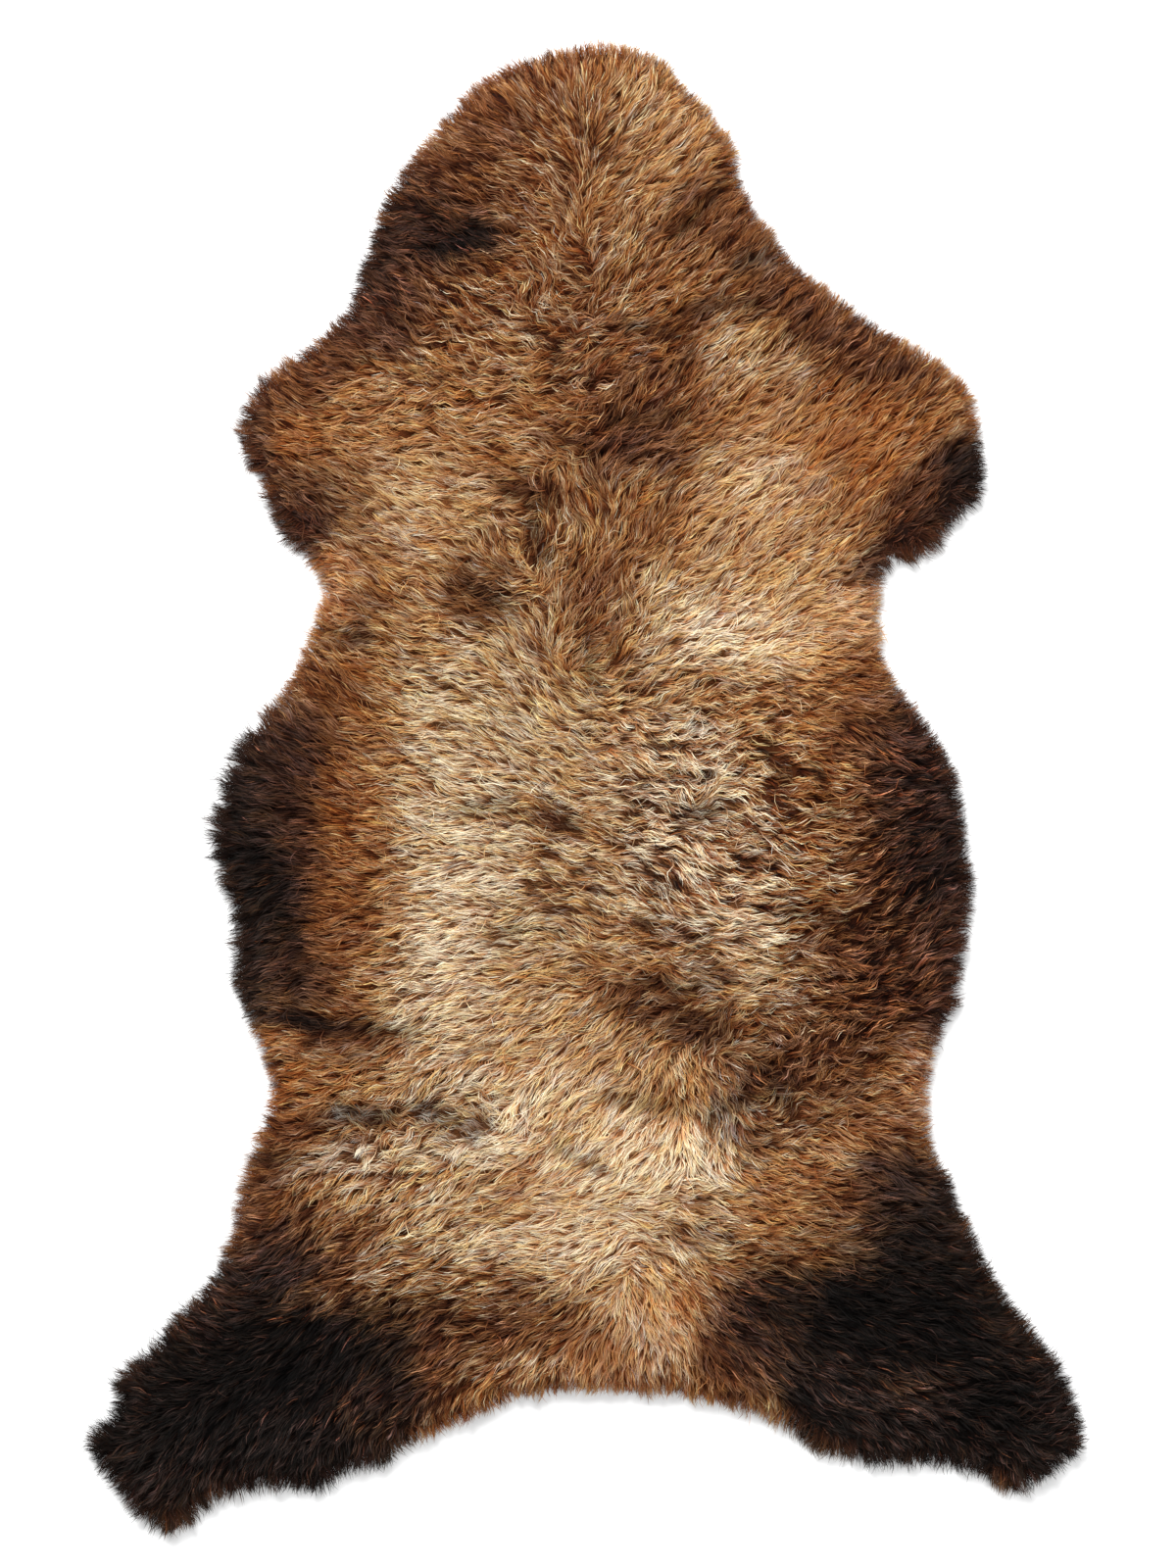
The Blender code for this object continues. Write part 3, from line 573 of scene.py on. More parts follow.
    ("coffee", 270, 1295, 60, 34, 30, 0.9), ("soot", 225, 1335, 110, 50, 30, 0.9),
    ("black", 290, 1390, 150, 62, 12, 0.98), ("jet", 150, 1480, 120, 120, 25, 0.97),
    ("black", 250, 1440, 110, 60, 0, 0.9), ("jet", 310, 1490, 140, 60, -20, 0.95),
    ("soot", 400, 1430, 46, 50, 0, 0.9), ("umber", 447, 1385, 24, 40, 0, 0.85),
    ("soot", 945, 1245, 70, 60, -60, 0.92), ("coffee", 772, 1350, 40, 50, 0, 0.85),
    ("black", 880, 1345, 110, 70, -10, 0.98), ("black", 970, 1350, 110, 80, -40, 0.97),
    ("jet", 850, 1430, 90, 50, -20, 0.95), ("jet", 950, 1470, 110, 50, 0, 0.95),
    ("jet", 1070, 1450, 90, 90, 0, 0.95), ("black", 1020, 1430, 50, 40, 0, 0.8),
    ("umber", 747, 1405, 28, 34, 0, 0.7),
)
GAIN = 1.3  # makes up for the shade that locks throw on each other
BRIGHTEST = 0.92
PATCHY, PATCH_NOISE = 0.9, (10.0, 23)
WARP, WARP_PITCH = 9.0, 26.0  # how far, and how broadly, the ovals' edges wander


def linear(screen):
    """Linear light of a screen colour: values over 255, raised to the power 2.2."""
    return (np.asarray(screen, float) / 255) ** 2.2


def airbrushed(x, y):
    """Screen colour at each point: starting from brown, each oval mixes its tone in by strength * exp(-r^4) *
    (1 + (1 - strength) * noise), which makes the weaker ovals patchy."""
    colour = np.broadcast_to(TONES["brown"], x.shape + (3,)).astype(float)
    patchy = PATCHY * noise(x, y, *PATCH_NOISE)
    for tone, px, py, half_wide, half_high, turn, strength in AIRBRUSH:
        at_x, at_y = on_rug(px, py)
        cos, sin = np.cos(np.radians(turn)), np.sin(np.radians(turn))
        u = ((x - at_x) * cos + (y - at_y) * sin) / (half_wide * PIXEL)
        v = ((y - at_y) * cos - (x - at_x) * sin) / (half_high * PIXEL)
        share = strength * (1 + (1 - strength) * patchy) * np.exp(-((u * u + v * v) ** 2))
        share = np.clip(share, 0, 1)[..., None]
        colour = colour * (1 - share) + np.array(TONES[tone]) * share
    return colour


warp_x = WARP * noise(MAP_X, MAP_Y, WARP_PITCH, 21)
warp_y = WARP * noise(MAP_X, MAP_Y, WARP_PITCH, 22)
TONE = np.minimum(GAIN * linear(airbrushed(MAP_X + warp_x, MAP_Y + warp_y)), BRIGHTEST)
print(len(AIRBRUSH), "airbrush strokes in", len(TONES), "tones")

# %% [markdown]
# ## Closed slabs cut to the outline
#
# The hide and the underwool are both slabs with the pelt's outline. They are cut from the grid: squares
# inside stay, their outermost corners are pulled on to the line, and a lower copy and a wall close the body.
# Cutting a plane with a boolean would leave slivers, while this keeps even squares that hold a smooth height
# map.

# %% Slab from a level map
STICKS_OUT = 0.4  # how far past the line a kept square may reach, as a share of its side
PULLS = 3  # times that border corners are moved towards the line
LEAST_SLOPE = 0.5


def make_mesh(name, points, quads, triangles=()):
    """A smooth-shaded mesh of quads and then triangles, with points given in millimetres."""
    quads = np.asarray(quads, np.int32).reshape(-1, 4)
    triangles = np.asarray(triangles, np.int32).reshape(-1, 3)
    corners = np.concatenate([quads.ravel(), triangles.ravel()])
    sides = np.concatenate([np.full(len(quads), 4), np.full(len(triangles), 3)])
    mesh = bpy.data.meshes.new(name)
    mesh.vertices.add(len(points))
    mesh.vertices.foreach_set("co", (points * MM).astype(np.float32).ravel())
    mesh.loops.add(len(corners))
    mesh.loops.foreach_set("vertex_index", corners)
    mesh.polygons.add(len(sides))
    mesh.polygons.foreach_set("loop_start", np.cumsum(sides) - sides)
    mesh.polygons.foreach_set("use_smooth", np.ones(len(sides), bool))
    mesh.update(calc_edges=True)
    mesh.validate()
    piece = bpy.data.objects.new(name, mesh)
    bpy.context.scene.collection.objects.link(piece)
    print(f"{name}: {len(points)} points, {2 * len(quads) + len(triangles)} triangles")
    return piece


def slab(name, level, cell, top, bottom):
    """A closed slab where level is above zero. Border corners move by level * slope / slope^2, to the line.
    top(x, y) and bottom(x, y) give the two heights, and each border edge gets one wall."""
    xs = np.arange(grid_x[0] + CELL, grid_x[-1] - CELL, cell)
    ys = np.arange(grid_y[0] + CELL, grid_y[-1] - CELL, cell)
    x, y = (a.copy() for a in np.meshgrid(xs, ys, indexing="ij"))
    depth = read(level, x, y)
    corner = np.arange(x.size).reshape(x.shape)
    lowest = np.minimum.reduce([depth[:-1, :-1], depth[1:, :-1], depth[1:, 1:], depth[:-1, 1:]])
    quads = np.stack([corner[:-1, :-1], corner[1:, :-1], corner[1:, 1:], corner[:-1, 1:]], axis=-1)
    quads = quads[lowest > -STICKS_OUT * cell]

    starts, ends = quads.ravel(), np.roll(quads, -1, axis=1).ravel()
    border = ~np.isin(starts * x.size + ends, ends * x.size + starts)
    rim = np.unique(starts[border])
    slope_x, slope_y = np.gradient(level, CELL)
    flat_x, flat_y = x.ravel(), y.ravel()
    for _ in range(PULLS):
        at = read(level, flat_x[rim], flat_y[rim])
        dx, dy = read(slope_x, flat_x[rim], flat_y[rim]), read(slope_y, flat_x[rim], flat_y[rim])
        steepness = np.maximum(dx**2 + dy**2, LEAST_SLOPE**2)
        flat_x[rim] -= at * dx / steepness
        flat_y[rim] -= at * dy / steepness

    used = np.unique(quads)
    number = np.full(x.size, -1)
    number[used] = np.arange(len(used))
    px, py = flat_x[used], flat_y[used]
    upper = np.stack([px, py, top(px, py)], axis=1)
    lower = np.stack([px, py, bottom(px, py)], axis=1)
    quads, a, b = number[quads], number[starts[border]], number[ends[border]]
    walls = np.stack([b, a, a + len(used), b + len(used)], axis=1)
    faces = np.concatenate([quads, quads[:, ::-1] + len(used), walls])
    return make_mesh(name, np.concatenate([upper, lower]), faces)


# %% [markdown]
# ## The hide
#
# The hide is the tanned skin, 1.8 mm of pale suede that lies flat on the floor. Its cut edge is tucked under
# the wool, 5 mm inside the roots of the fringe. It is a laid sheet, and everything else grows on it.

# %% Hide slab
HIDE_THICK = 1.8
HIDE_TUCK = 5.0
HIDE_CELL = 14.0


def hide_top(x, y):
    """The hide's upper face is level."""
    return np.full(x.shape, HIDE_THICK)


hide_level = rim_level - HIDE_TUCK
hide = slab("hide", hide_level, HIDE_CELL, top=hide_top, bottom=lambda x, y: np.zeros(x.shape))

# %% [markdown]
# ## The underwool
#
# Between the locks a fleece is so dense that no skin shows, only a felted mass in deep shade. It is one
# closed body under the locks, 7.5 mm lower than the pile, and overhangs the hide a little. It throws the
# gaps between the locks into shade, its colour is painted very dark as well, a painted shade, and it saves
# a million strands that nobody would see.

# %% Underwool slab
UNDERWOOL_SINK = 7.5
UNDERWOOL_CELL = 10.0
UNDERWOOL_EDGE = 4.0  # height at its border
UNDERWOOL_ROUND = 14.0  # distance over which the border is rounded down
OVERHANG = 1.0  # how far it reaches past the roots of the fringe
MEETING_LIFT = 2.0  # where the two ways meet the locks stand apart, so it is higher


def underwool_top(x, y):
    """The edge height plus the rest of the pile's height, less the sink, times the root of a smooth step."""
    full = read(HEIGHT, x, y) - UNDERWOOL_SINK + MEETING_LIFT * read(MEETING, x, y)
    rounded = np.sqrt(smooth((read(rim_level, x, y) + OVERHANG) / UNDERWOOL_ROUND))
    return UNDERWOOL_EDGE + (full - UNDERWOOL_EDGE) * rounded


underwool = slab("underwool", rim_level + OVERHANG, UNDERWOOL_CELL, top=underwool_top, bottom=hide_top)

# %% [markdown]
# ## Locks of wool
#
# Fibres don't stand alone: crimp and grease hold them in locks, here 5.6 mm apart, which come to a point and
# lie over each other like shingles. So a lock is grown first, with a root, a heading, a length and a wave,
# and its strands then copy its path with small changes of their own. A particle hair system does this too,
# but it can't be exported as a mesh, and here every strand is a tapering ribbon of two quads and a tip.
#
# A path is a walk of three steps. The heading swings from side to side for the crimp, and the lift sinks
# from steep at the root to level at the tip, so every strand keeps its length however much it curls.

# %% Where the locks are rooted
LOCK_PITCH = 5.6
LOCK_JITTER = 2.3
STRANDS = 10  # in a lock
rng = np.random.default_rng(20)


def scattered(pitch, jitter):
    """Points of a triangular lattice over the map, each moved at random by up to the jitter."""
    rows = np.arange(grid_y[0], grid_y[-1], pitch * np.sqrt(0.75))
    columns = np.arange(grid_x[0], grid_x[-1], pitch)
    x, y = np.meshgrid(columns, rows)
    x = x + pitch / 2 * (np.arange(len(rows)) % 2)[:, None]
    x = x + rng.uniform(-jitter, jitter, x.shape)
    y = y + rng.uniform(-jitter, jitter, y.shape)
    return x.ravel(), y.ravel()


# %% [markdown]
# A lock's heading is the lean of the wool there, stirred by two noises, a broad sweep and a small kink,
# which are both stronger in the curly places. Then it turns towards the side where the combed noise is
# higher, so that locks gather in wisps and leave gaps. Wisps are also longer and stand higher.

# %% Headings and shapes of the locks
WISPS = (9.0, 18.0, 41)  # pitch across, reach along, seed
WAY_NOISE = (7.0, 35)  # pitch, seed
SWEEP, CURLY_SWEEP, SWEEP_NOISE = 0.16, 0.7, (34.0, 31)  # radians, more of them in a curl, pitch and seed
KINK, CURLY_KINK, KINK_NOISE = 0.07, 0.6, (14.0, 32)
PHASE, PHASE_CHANCE, PHASE_NOISE = 0.9, 0.07, (16.0, 33)  # turns of the crimp
HOOK, HOOK_CHANCE, HOOK_NOISE = 0.35, 0.12, (11.0, 34)  # radians that a lock bends to one side
GATHER, GATHER_SPAN = 0.16, 3.0
WISP_LENGTH, WISP_LIFT = 0.10, np.radians(6)
SHOWS_AT = 0.55  # share of its length at which a lock is seen from above


def leans(x, y):
    """The way each lock leans along the grain. Where the two ways meet, patches of noise decide it."""
    grain = grain_at(x, y)
    forwards = (grain * read(WAY, x, y)).sum(axis=-1) + 0.7 * noise(x, y, *WAY_NOISE)
    return grain * np.where(forwards > 0, 1.0, -1.0)[..., None]


def headings(x, y):
    """Lean + (sweep + curl * more) * noise + (kink + curl * more) * noise + gather * (combed noise to the
    left - to the right)."""
    lean, curl = leans(x, y), read(CURL, x, y)
    angle = np.arctan2(lean[..., 1], lean[..., 0])
    angle += (SWEEP + CURLY_SWEEP * curl) * noise(x, y, *SWEEP_NOISE)
    angle += (KINK + CURLY_KINK * curl) * noise(x, y, *KINK_NOISE)
    across_x, across_y = -GATHER_SPAN * lean[..., 1], GATHER_SPAN * lean[..., 0]
    left, right = (combed(x + way * across_x, y + way * across_y, *WISPS) for way in (1, -1))
    return angle + GATHER * (left - right)


def lock_table(x, y, root_z, heading, length, lift_root, lift_tip, wave, spread, clump, fan):
    """Named arrays for a set of locks. Neighbours share the place and the turn of their crimp, so they nest
    instead of crossing."""
    run = SHOWS_AT * length * np.cos((lift_root + lift_tip) / 2)
    wisp = combed(x + run * np.cos(heading), y + run * np.sin(heading), *WISPS)
    return {
        "x": x, "y": y, "z": root_z, "heading": heading, "length": length * (1 + WISP_LENGTH * wisp),
        "lift_root": lift_root, "lift_tip": lift_tip + WISP_LIFT * wisp, "wave": wave, "spread": spread,
        "clump": clump, "fan": fan,
        "phase": PHASE * noise(x, y, *PHASE_NOISE) + rng.normal(0, PHASE_CHANCE, len(x)),
        "hook": HOOK * noise(x, y, *HOOK_NOISE) + rng.normal(0, HOOK_CHANCE, len(x)),
    }


# %% [markdown]
# ## Crevices and streaks
#
# What makes a fleece look deep is its small light and dark. Thin dark crevices run along the grain between
# the wisps: the strands there lie lower, and their colour is darkened as a painted shade. The strands
# themselves differ too: combed noise makes streaks of them lighter or darker and greyer or more golden,
# and chance sets neighbours apart. The creases below say where a fleece is rougher than elsewhere: there
# the streaks are stronger and the painted shade in the crevices deeper, while where it is smoother the
# painted shade at the roots and on the underwool is lighter.

# %% Creases, crevices and the tone of a strand
CREASES = (
    # deeper
    (690, 880, 1.1, 60), (680, 790, 0.4, 50), (750, 800, 1.1, 70), (780, 900, 0.9, 60), (880, 960, 1.1, 80),
    (910, 820, 1.0, 70), (480, 300, 0.7, 70), (600, 320, 0.6, 60), (500, 190, 0.5, 60), (880, 360, 0.4, 60),
    (840, 1060, 0.6, 60), (590, 150, 0.3, 70), (740, 1330, 0.4, 40), (500, 1340, 0.5, 60),
    (400, 1300, 0.4, 50), (380, 850, 0.2, 60), (560, 850, 0.3, 50), (500, 830, 0.2, 50),
    (790, 1080, 0.5, 60), (690, 1040, 0.3, 50), (640, 430, 0.3, 60), (560, 540, 0.3, 40),
    (490, 600, 0.4, 30), (400, 1150, 0.3, 50), (500, 400, 0.2, 60), (340, 1050, 0.4, 50),
    (280, 1410, 0.7, 120), (940, 1400, 0.7, 140), (130, 1480, 0.2, 60), (1060, 1450, 0.2, 70),
    (250, 900, 0.2, 80),
    # smoother
    (670, 130, -0.25, 60), (450, 140, -0.3, 50), (690, 220, -0.1, 50), (850, 440, -0.3, 90),
    (790, 480, -0.4, 70), (720, 560, -0.2, 50), (770, 640, -0.4, 80), (430, 520, -0.3, 80),
    (330, 600, -0.3, 50), (860, 620, -0.4, 50), (440, 900, -0.2, 70), (620, 1160, -0.5, 100),
    (540, 1250, -0.3, 70), (640, 1240, -0.2, 60), (520, 1060, -0.3, 60), (330, 1080, -0.2, 40),
    (860, 1140, -0.2, 50), (740, 1360, -0.2, 50), (640, 1390, -0.5, 60), (680, 1320, -0.4, 40),
    (820, 640, -0.2, 50),
)
LEAST_CREASED, MOST_CREASED = 0.45, 2.4
CREASED = 1 + sum(more * weight for more, weight in stroke_weights(MAP_X, MAP_Y, CREASES))
CREASED = np.clip(CREASED, LEAST_CREASED, MOST_CREASED)
CREVICES = (6.5, 16.0, 44)  # pitch across, reach along, seed
WISPLETS = (2.4, 8.0, 42)
DYES = (4.5, 11.0, 43)
CREVICE_WIDTH = 0.2  # how near to zero the combed noise is in a crevice
CREVICE_GAPS, BROAD_GAPS = (14.0, 45), (31.0, 46)  # pitch and seed of the noises that break crevices up
# Painted shade in the crevices: it takes more blue than red, so the shade is warm.
CREVICE_SHADE = np.array([1.3, 1.65, 1.85])  # how much darker, as powers of e, the strands in a crevice are
CREVICE_DEPTH = 2.2  # how much lower they lie
WISP_LIGHT, WISPLET_LIGHT = 0.10, 0.30
MOST_STREAKED = 1.9
BLEACH = np.array([0.55, 1.0, 1.35])  # on pale wool light strands are creamier, and dark ones redder
RUSTING = np.array([1.15, 0.95, 0.85])  # on dark wool light strands are redder
DYE = 0.6
GREYING = np.array([-0.09, 0.0, 0.27])  # what the dyes add towards grey, and take off towards gold
WOOL_GAIN = 1.17
SUNNED = 0.09  # green value, in linear light, from which wool counts as wholly sunned
# Painted shade at partings: the strands there are darkened by up to this share.
PARTING_SHADE = 0.55
GREENEST, BLUEST = 0.83, 0.80  # most green for the red, and most blue for the green
PALEST = GAIN * linear((213, 194, 160))  # no strand comes out lighter than this
SEEN_POINT = 2  # the point of a strand's path that is seen from above


def crevices(x, y):
    """How deep a place lies in a crevice: exp(-(n / width)^2), which draws thin lines along the grain where
    combed noise n crosses zero, times a smooth step that leaves gaps in them, times crease^1.5."""
    creased = read(CREASED, x, y)
    line = np.exp(-((combed(x, y, *CREVICES) / CREVICE_WIDTH) ** 2))
    broken = noise(x, y, *CREVICE_GAPS) + 0.8 * noise(x, y, *BROAD_GAPS) + 0.4 * creased - 0.15
    return line * smooth(broken, 0.7) * creased**1.5


def tones(paths, chance):
    """A colour for every strand: the tone map where the strand is seen, times exp(-crevice * shade), which is
    a painted shade, and times exp(light * bleach + dye * greying). So streaks run on from lock to lock. Wool
    is never greener or bluer than its limits, and c / (1 + (c / p)^4)^(1/4) bends its colour c towards the
    palest wool p. Near partings the colour is then darkened by up to the parting shade, also a painted shade."""
    x, y = paths[..., SEEN_POINT, 0].ravel(), paths[..., SEEN_POINT, 1].ravel()
    light = WISP_LIGHT * combed(x, y, *WISPS) + WISPLET_LIGHT * combed(x, y, *WISPLETS)
    light = (light + rng.normal(0, chance, len(x))) * np.minimum(read(CREASED, x, y), MOST_STREAKED)
    dye = DYE * combed(x, y, *DYES) + rng.normal(0, DYE, len(x))
    here = read(TONE, x, y)
    sunned = smooth(here[:, 1:2], SUNNED)
    tone = WOOL_GAIN * here * np.exp(-crevices(x, y)[:, None] * CREVICE_SHADE)
    tone *= np.exp(light[:, None] * (BLEACH * sunned + RUSTING * (1 - sunned)) + dye[:, None] * GREYING)
    tone[:, 1] = np.minimum(tone[:, 1], GREENEST * tone[:, 0])
    tone[:, 2] = np.minimum(tone[:, 2], BLUEST * tone[:, 1])
    tone /= (1 + (tone / PALEST) ** 4) ** 0.25
    return tone * (1 - PARTING_SHADE * read(PARTING, x, y)[:, None])


# %% [markdown]
# ## Strands
#
# The wool's own small differences are drawn for all the locks at once. Locks near the rim start lower and
# end pointing down, so the fringe droops to the floor and the rug has no cut cliff of wool round it.

# %% Growing strands from locks
STEPS = 3
STRAND_LENGTH = (0.68, 1.06)  # least and most, as a share of the lock's length
OUTER_SHORTER = 0.14
STRAND_LIFT = 0.08
CRIMPS = 0.95  # waves along a strand
FLOOR_GAP = 0.5
FLOOR_CHANCE = 1.6
FLOOR_SOFT = 3.0  # height above the floor gap at which a strand starts to level out


def grow(locks, strands):
    """Paths of every strand, as (lock, strand, point, xyz).

    Each step goes on by a third of the length along (cos lift cos heading, cos lift sin heading, sin lift).
    At a share t of the way the lift has turned by t^0.7 from root to tip, and the strand's offset from the
    lock's middle has shrunk by clump * t^1.3, which draws the lock to a point."""
    shape = (len(locks["x"]), strands)
    per_lock = {name: value[:, None] for name, value in locks.items()}
    radius = np.sqrt(rng.uniform(0, 1, shape))
    around = rng.uniform(0, 2 * np.pi, shape)
    share = rng.uniform(*STRAND_LENGTH, shape) - OUTER_SHORTER * radius**2
    heading = per_lock["heading"] + per_lock["fan"] * rng.normal(0, 1, shape)
    lift = rng.normal(0, STRAND_LIFT, shape)

    middle = ((np.arange(STEPS) + 0.5) / STEPS)[:, None, None] * share
    swing = heading + per_lock["wave"] * np.sin(2 * np.pi * (CRIMPS * middle + per_lock["phase"]))
    swing += per_lock["hook"] * middle**2
    pitch = lift + per_lock["lift_root"] + (per_lock["lift_tip"] - per_lock["lift_root"]) * middle**0.7
    stride = per_lock["length"] * share / STEPS
    walk = stride * np.stack([np.cos(pitch) * np.cos(swing), np.cos(pitch) * np.sin(swing), np.sin(pitch)])
    walk = np.concatenate([np.zeros((3, 1) + shape), np.cumsum(walk, axis=1)], axis=1)

    along = (np.arange(STEPS + 1) / STEPS)[:, None, None] * share
    drawn = (1 - per_lock["clump"] * along**1.3) * per_lock["spread"] * radius
    root = np.stack([np.broadcast_to(per_lock[axis], shape) for axis in "xyz"])
    path = root[:, None] + walk
    path[0] += drawn * np.cos(around)
    path[1] += drawn * np.sin(around)
    path[2] += 0.25 * drawn * rng.normal(0, 1, shape)
    path[2] -= CREVICE_DEPTH * crevices(path[0, SEEN_POINT], path[1, SEEN_POINT]) * along
    low = FLOOR_GAP + rng.uniform(0, FLOOR_CHANCE, shape)
    below = np.minimum(path[2] - low - FLOOR_SOFT, 0)
    path[2] = np.where(below < 0, low + FLOOR_SOFT * np.exp(below / FLOOR_SOFT), path[2])
    return np.moveaxis(path, (0, 1), (3, 2))


# %% [markdown]
# ## Ribbons
#
# Each path becomes a ribbon about 0.6 mm wide, narrowing to a point and rolled a little about its own length
# so that neighbours catch the light differently. Two maps go with it. One gives every ribbon its own cell in
# a neat sheet, for baking. The other runs across and along the ribbon in millimetres, for the fine fibres
# that the material draws on it. The colour is kept on the points: dark at the root, which is painted shade,
# full in the middle, and lighter at the tip, partly from bleaching and partly as a painted glow.

# %% Ribbons from paths
WIDTHS = np.array([0.85, 1.0, 0.78])  # at the points before the tip, as shares of the strand's width
ROLL = 0.32
# Painted shade at the root: this share of the full colour, more where the fleece is smooth.
SHADE_AT_ROOT = 0.14
LIGHT_ROOT = 0.6  # how much lighter the roots are where the fleece is smooth
# The root tint is partly the wool's own redder colour near the skin and partly the hue of the painted shade.
ROOT_TINT = np.array([1.6, 0.88, 0.55])  # wool near the skin is redder than its bleached tips
FULL_AT = 0.75  # share of the strand at which it has its full colour
# From here the tip is lightened, partly bleaching and partly a painted glow.
GLOW_FROM = 0.35  # and at which the bleached tip starts


def fill(layer, key, values):
    """Hand a whole array of values to a layer of a mesh."""
    layer.data.foreach_set(key, np.asarray(values, np.float32).ravel())


def corner_points(mesh):
    """The number of the point at each face corner."""
    corners = np.zeros(len(mesh.loops), np.int32)
    mesh.loops.foreach_get("vertex_index", corners)
    return corners


def ribbons(name, path, tone, width, tip_glow):
    """One mesh of tapering ribbons. The side vector is the path's direction crossed with up, then rolled."""
    count, each = path.shape[0], 2 * STEPS + 1
    ahead = np.gradient(path, axis=1)
    ahead /= np.maximum(np.linalg.norm(ahead, axis=2, keepdims=True), 1e-9)
    side = np.cross(ahead, (0.0, 0.0, 1.0))
    side /= np.maximum(np.linalg.norm(side, axis=2, keepdims=True), 1e-9)
    face = np.cross(side, ahead)
    roll = rng.normal(0, ROLL, count)[:, None, None]
    side = (side * np.cos(roll) + face * np.sin(roll))[:, :STEPS]

    half = 0.5 * width[:, None, None] * WIDTHS[None, :, None]
    pairs = np.stack([path[:, :STEPS] - side * half, path[:, :STEPS] + side * half], axis=2)
    points = np.concatenate([pairs.reshape(count, 2 * STEPS, 3), path[:, STEPS:]], axis=1)
    points[..., 2] = np.maximum(points[..., 2], FLOOR_GAP / 2)

    base = (np.arange(count) * each)[:, None, None]
    quads = base + 2 * np.arange(STEPS - 1)[None, :, None] + np.array([0, 1, 3, 2])
    tips = base[:, 0] + np.array([2 * STEPS - 2, 2 * STEPS - 1, 2 * STEPS])
    piece = make_mesh(name, points.reshape(-1, 3), quads.reshape(-1, 4), tips)

    t = np.append(np.repeat(np.arange(STEPS), 2), STEPS) / STEPS
    smoothness = 1 - np.minimum(read(CREASED, path[:, 0, 0], path[:, 0, 1]), 1.0)
    at_root = SHADE_AT_ROOT + LIGHT_ROOT * smoothness[:, None]
    shade = at_root + (1 - at_root) * smooth(t, FULL_AT)
    glow = (1 + tip_glow[:, None] * smooth(t - GLOW_FROM, 1 - GLOW_FROM))[..., None] ** BLEACH
    tint = ROOT_TINT + (1 - ROOT_TINT) * smooth(t, FULL_AT)[:, None]
    colour = np.ones((count, each, 4))
    colour[..., :3] = tone[:, None] * glow * shade[..., None] * tint
    fill(piece.data.color_attributes.new("fleece_tone", "FLOAT_COLOR", "POINT"), "color", colour)

    across = np.append(np.tile([0.0, 1.0], STEPS), 0.5)
    corners = corner_points(piece.data)
    own, corner = corners // each, corners % each
    columns = int(np.ceil(np.sqrt(count * 4)))
    rows = int(np.ceil(count / columns))
    sheet_u = (own % columns + 0.12 + 0.76 * across[corner]) / columns
    sheet_v = (own // columns + 0.06 + 0.88 * t[corner]) / rows
    fill(piece.data.uv_layers.new(name="OFBake"), "uv", np.stack([sheet_u, sheet_v], axis=1))
    length = np.linalg.norm(np.diff(path, axis=1), axis=2).sum(axis=1)
    fibre_u = across[corner] * width[own] + (own % 997) * 3.7
    fibre_v = t[corner] * length[own]
    fill(piece.data.uv_layers.new(name="fibre"), "uv", np.stack([fibre_u, fibre_v], axis=1))
    return piece


# %% [markdown]
# ## The fleece, region by region
#
# The lattice gives the places that the locks cover, so each lock is rooted a little behind its own. The
# locks on the pelt are split into named regions, so that each mesh stays small enough to handle and to
# print.

# %% Fleece meshes
LOCK_LENGTH = 21.0
LOCK_SPREAD = 3.1
STRAND_WIDTH = 0.58
MIDDLE_SHARE = 0.42  # of a lock's length, seen from above, from its root to its middle
ROOT_SINK = 1.5  # how deep the roots lie in the underwool
INLAND = 32.0  # distance from the rim to where the locks have their full lift and length
middle_x, middle_y = scattered(LOCK_PITCH, LOCK_JITTER)
near = read(TO_EDGE, middle_x, middle_y) > -FRINGE.max()
middle_x, middle_y = middle_x[near], middle_y[near]
heading = headings(middle_x, middle_y)
lock_x = middle_x - MIDDLE_SHARE * LOCK_LENGTH * np.cos(heading)
lock_y = middle_y - MIDDLE_SHARE * LOCK_LENGTH * np.sin(heading)
inset = read(rim_level, lock_x, lock_y)
grows = inset > 0.5  # half a millimetre inside the rim
lock_x, lock_y, heading, inset = lock_x[grows], lock_y[grows], heading[grows], inset[grows]
count = len(lock_x)
print(count, "locks on the pelt")
inland = smooth(inset / INLAND)
upright = read(MEETING, lock_x, lock_y) * inland
pelt_locks = lock_table(
    lock_x, lock_y,
    root_z=underwool_top(lock_x, lock_y) - ROOT_SINK,
    heading=heading,
    length=LOCK_LENGTH * (0.72 + 0.28 * inland) * rng.uniform(0.82, 1.18, count),
    lift_root=np.radians(22 + 28 * inland + 6 * upright + rng.normal(0, 6, count)),
    lift_tip=np.radians(-34 + 36 * inland + 8 * upright + rng.normal(0, 7, count)),
    wave=rng.uniform(0.18, 0.45, count) * (1 + 1.2 * read(CURL, lock_x, lock_y)),
    spread=LOCK_SPREAD * rng.uniform(0.75, 1.35, count),
    clump=rng.uniform(0.15, 0.75, count),
    fan=np.full(count, 0.08),
)
paths = grow(pelt_locks, STRANDS)
pelt_tones = tones(paths, chance=0.5).reshape(count, STRANDS, 3)

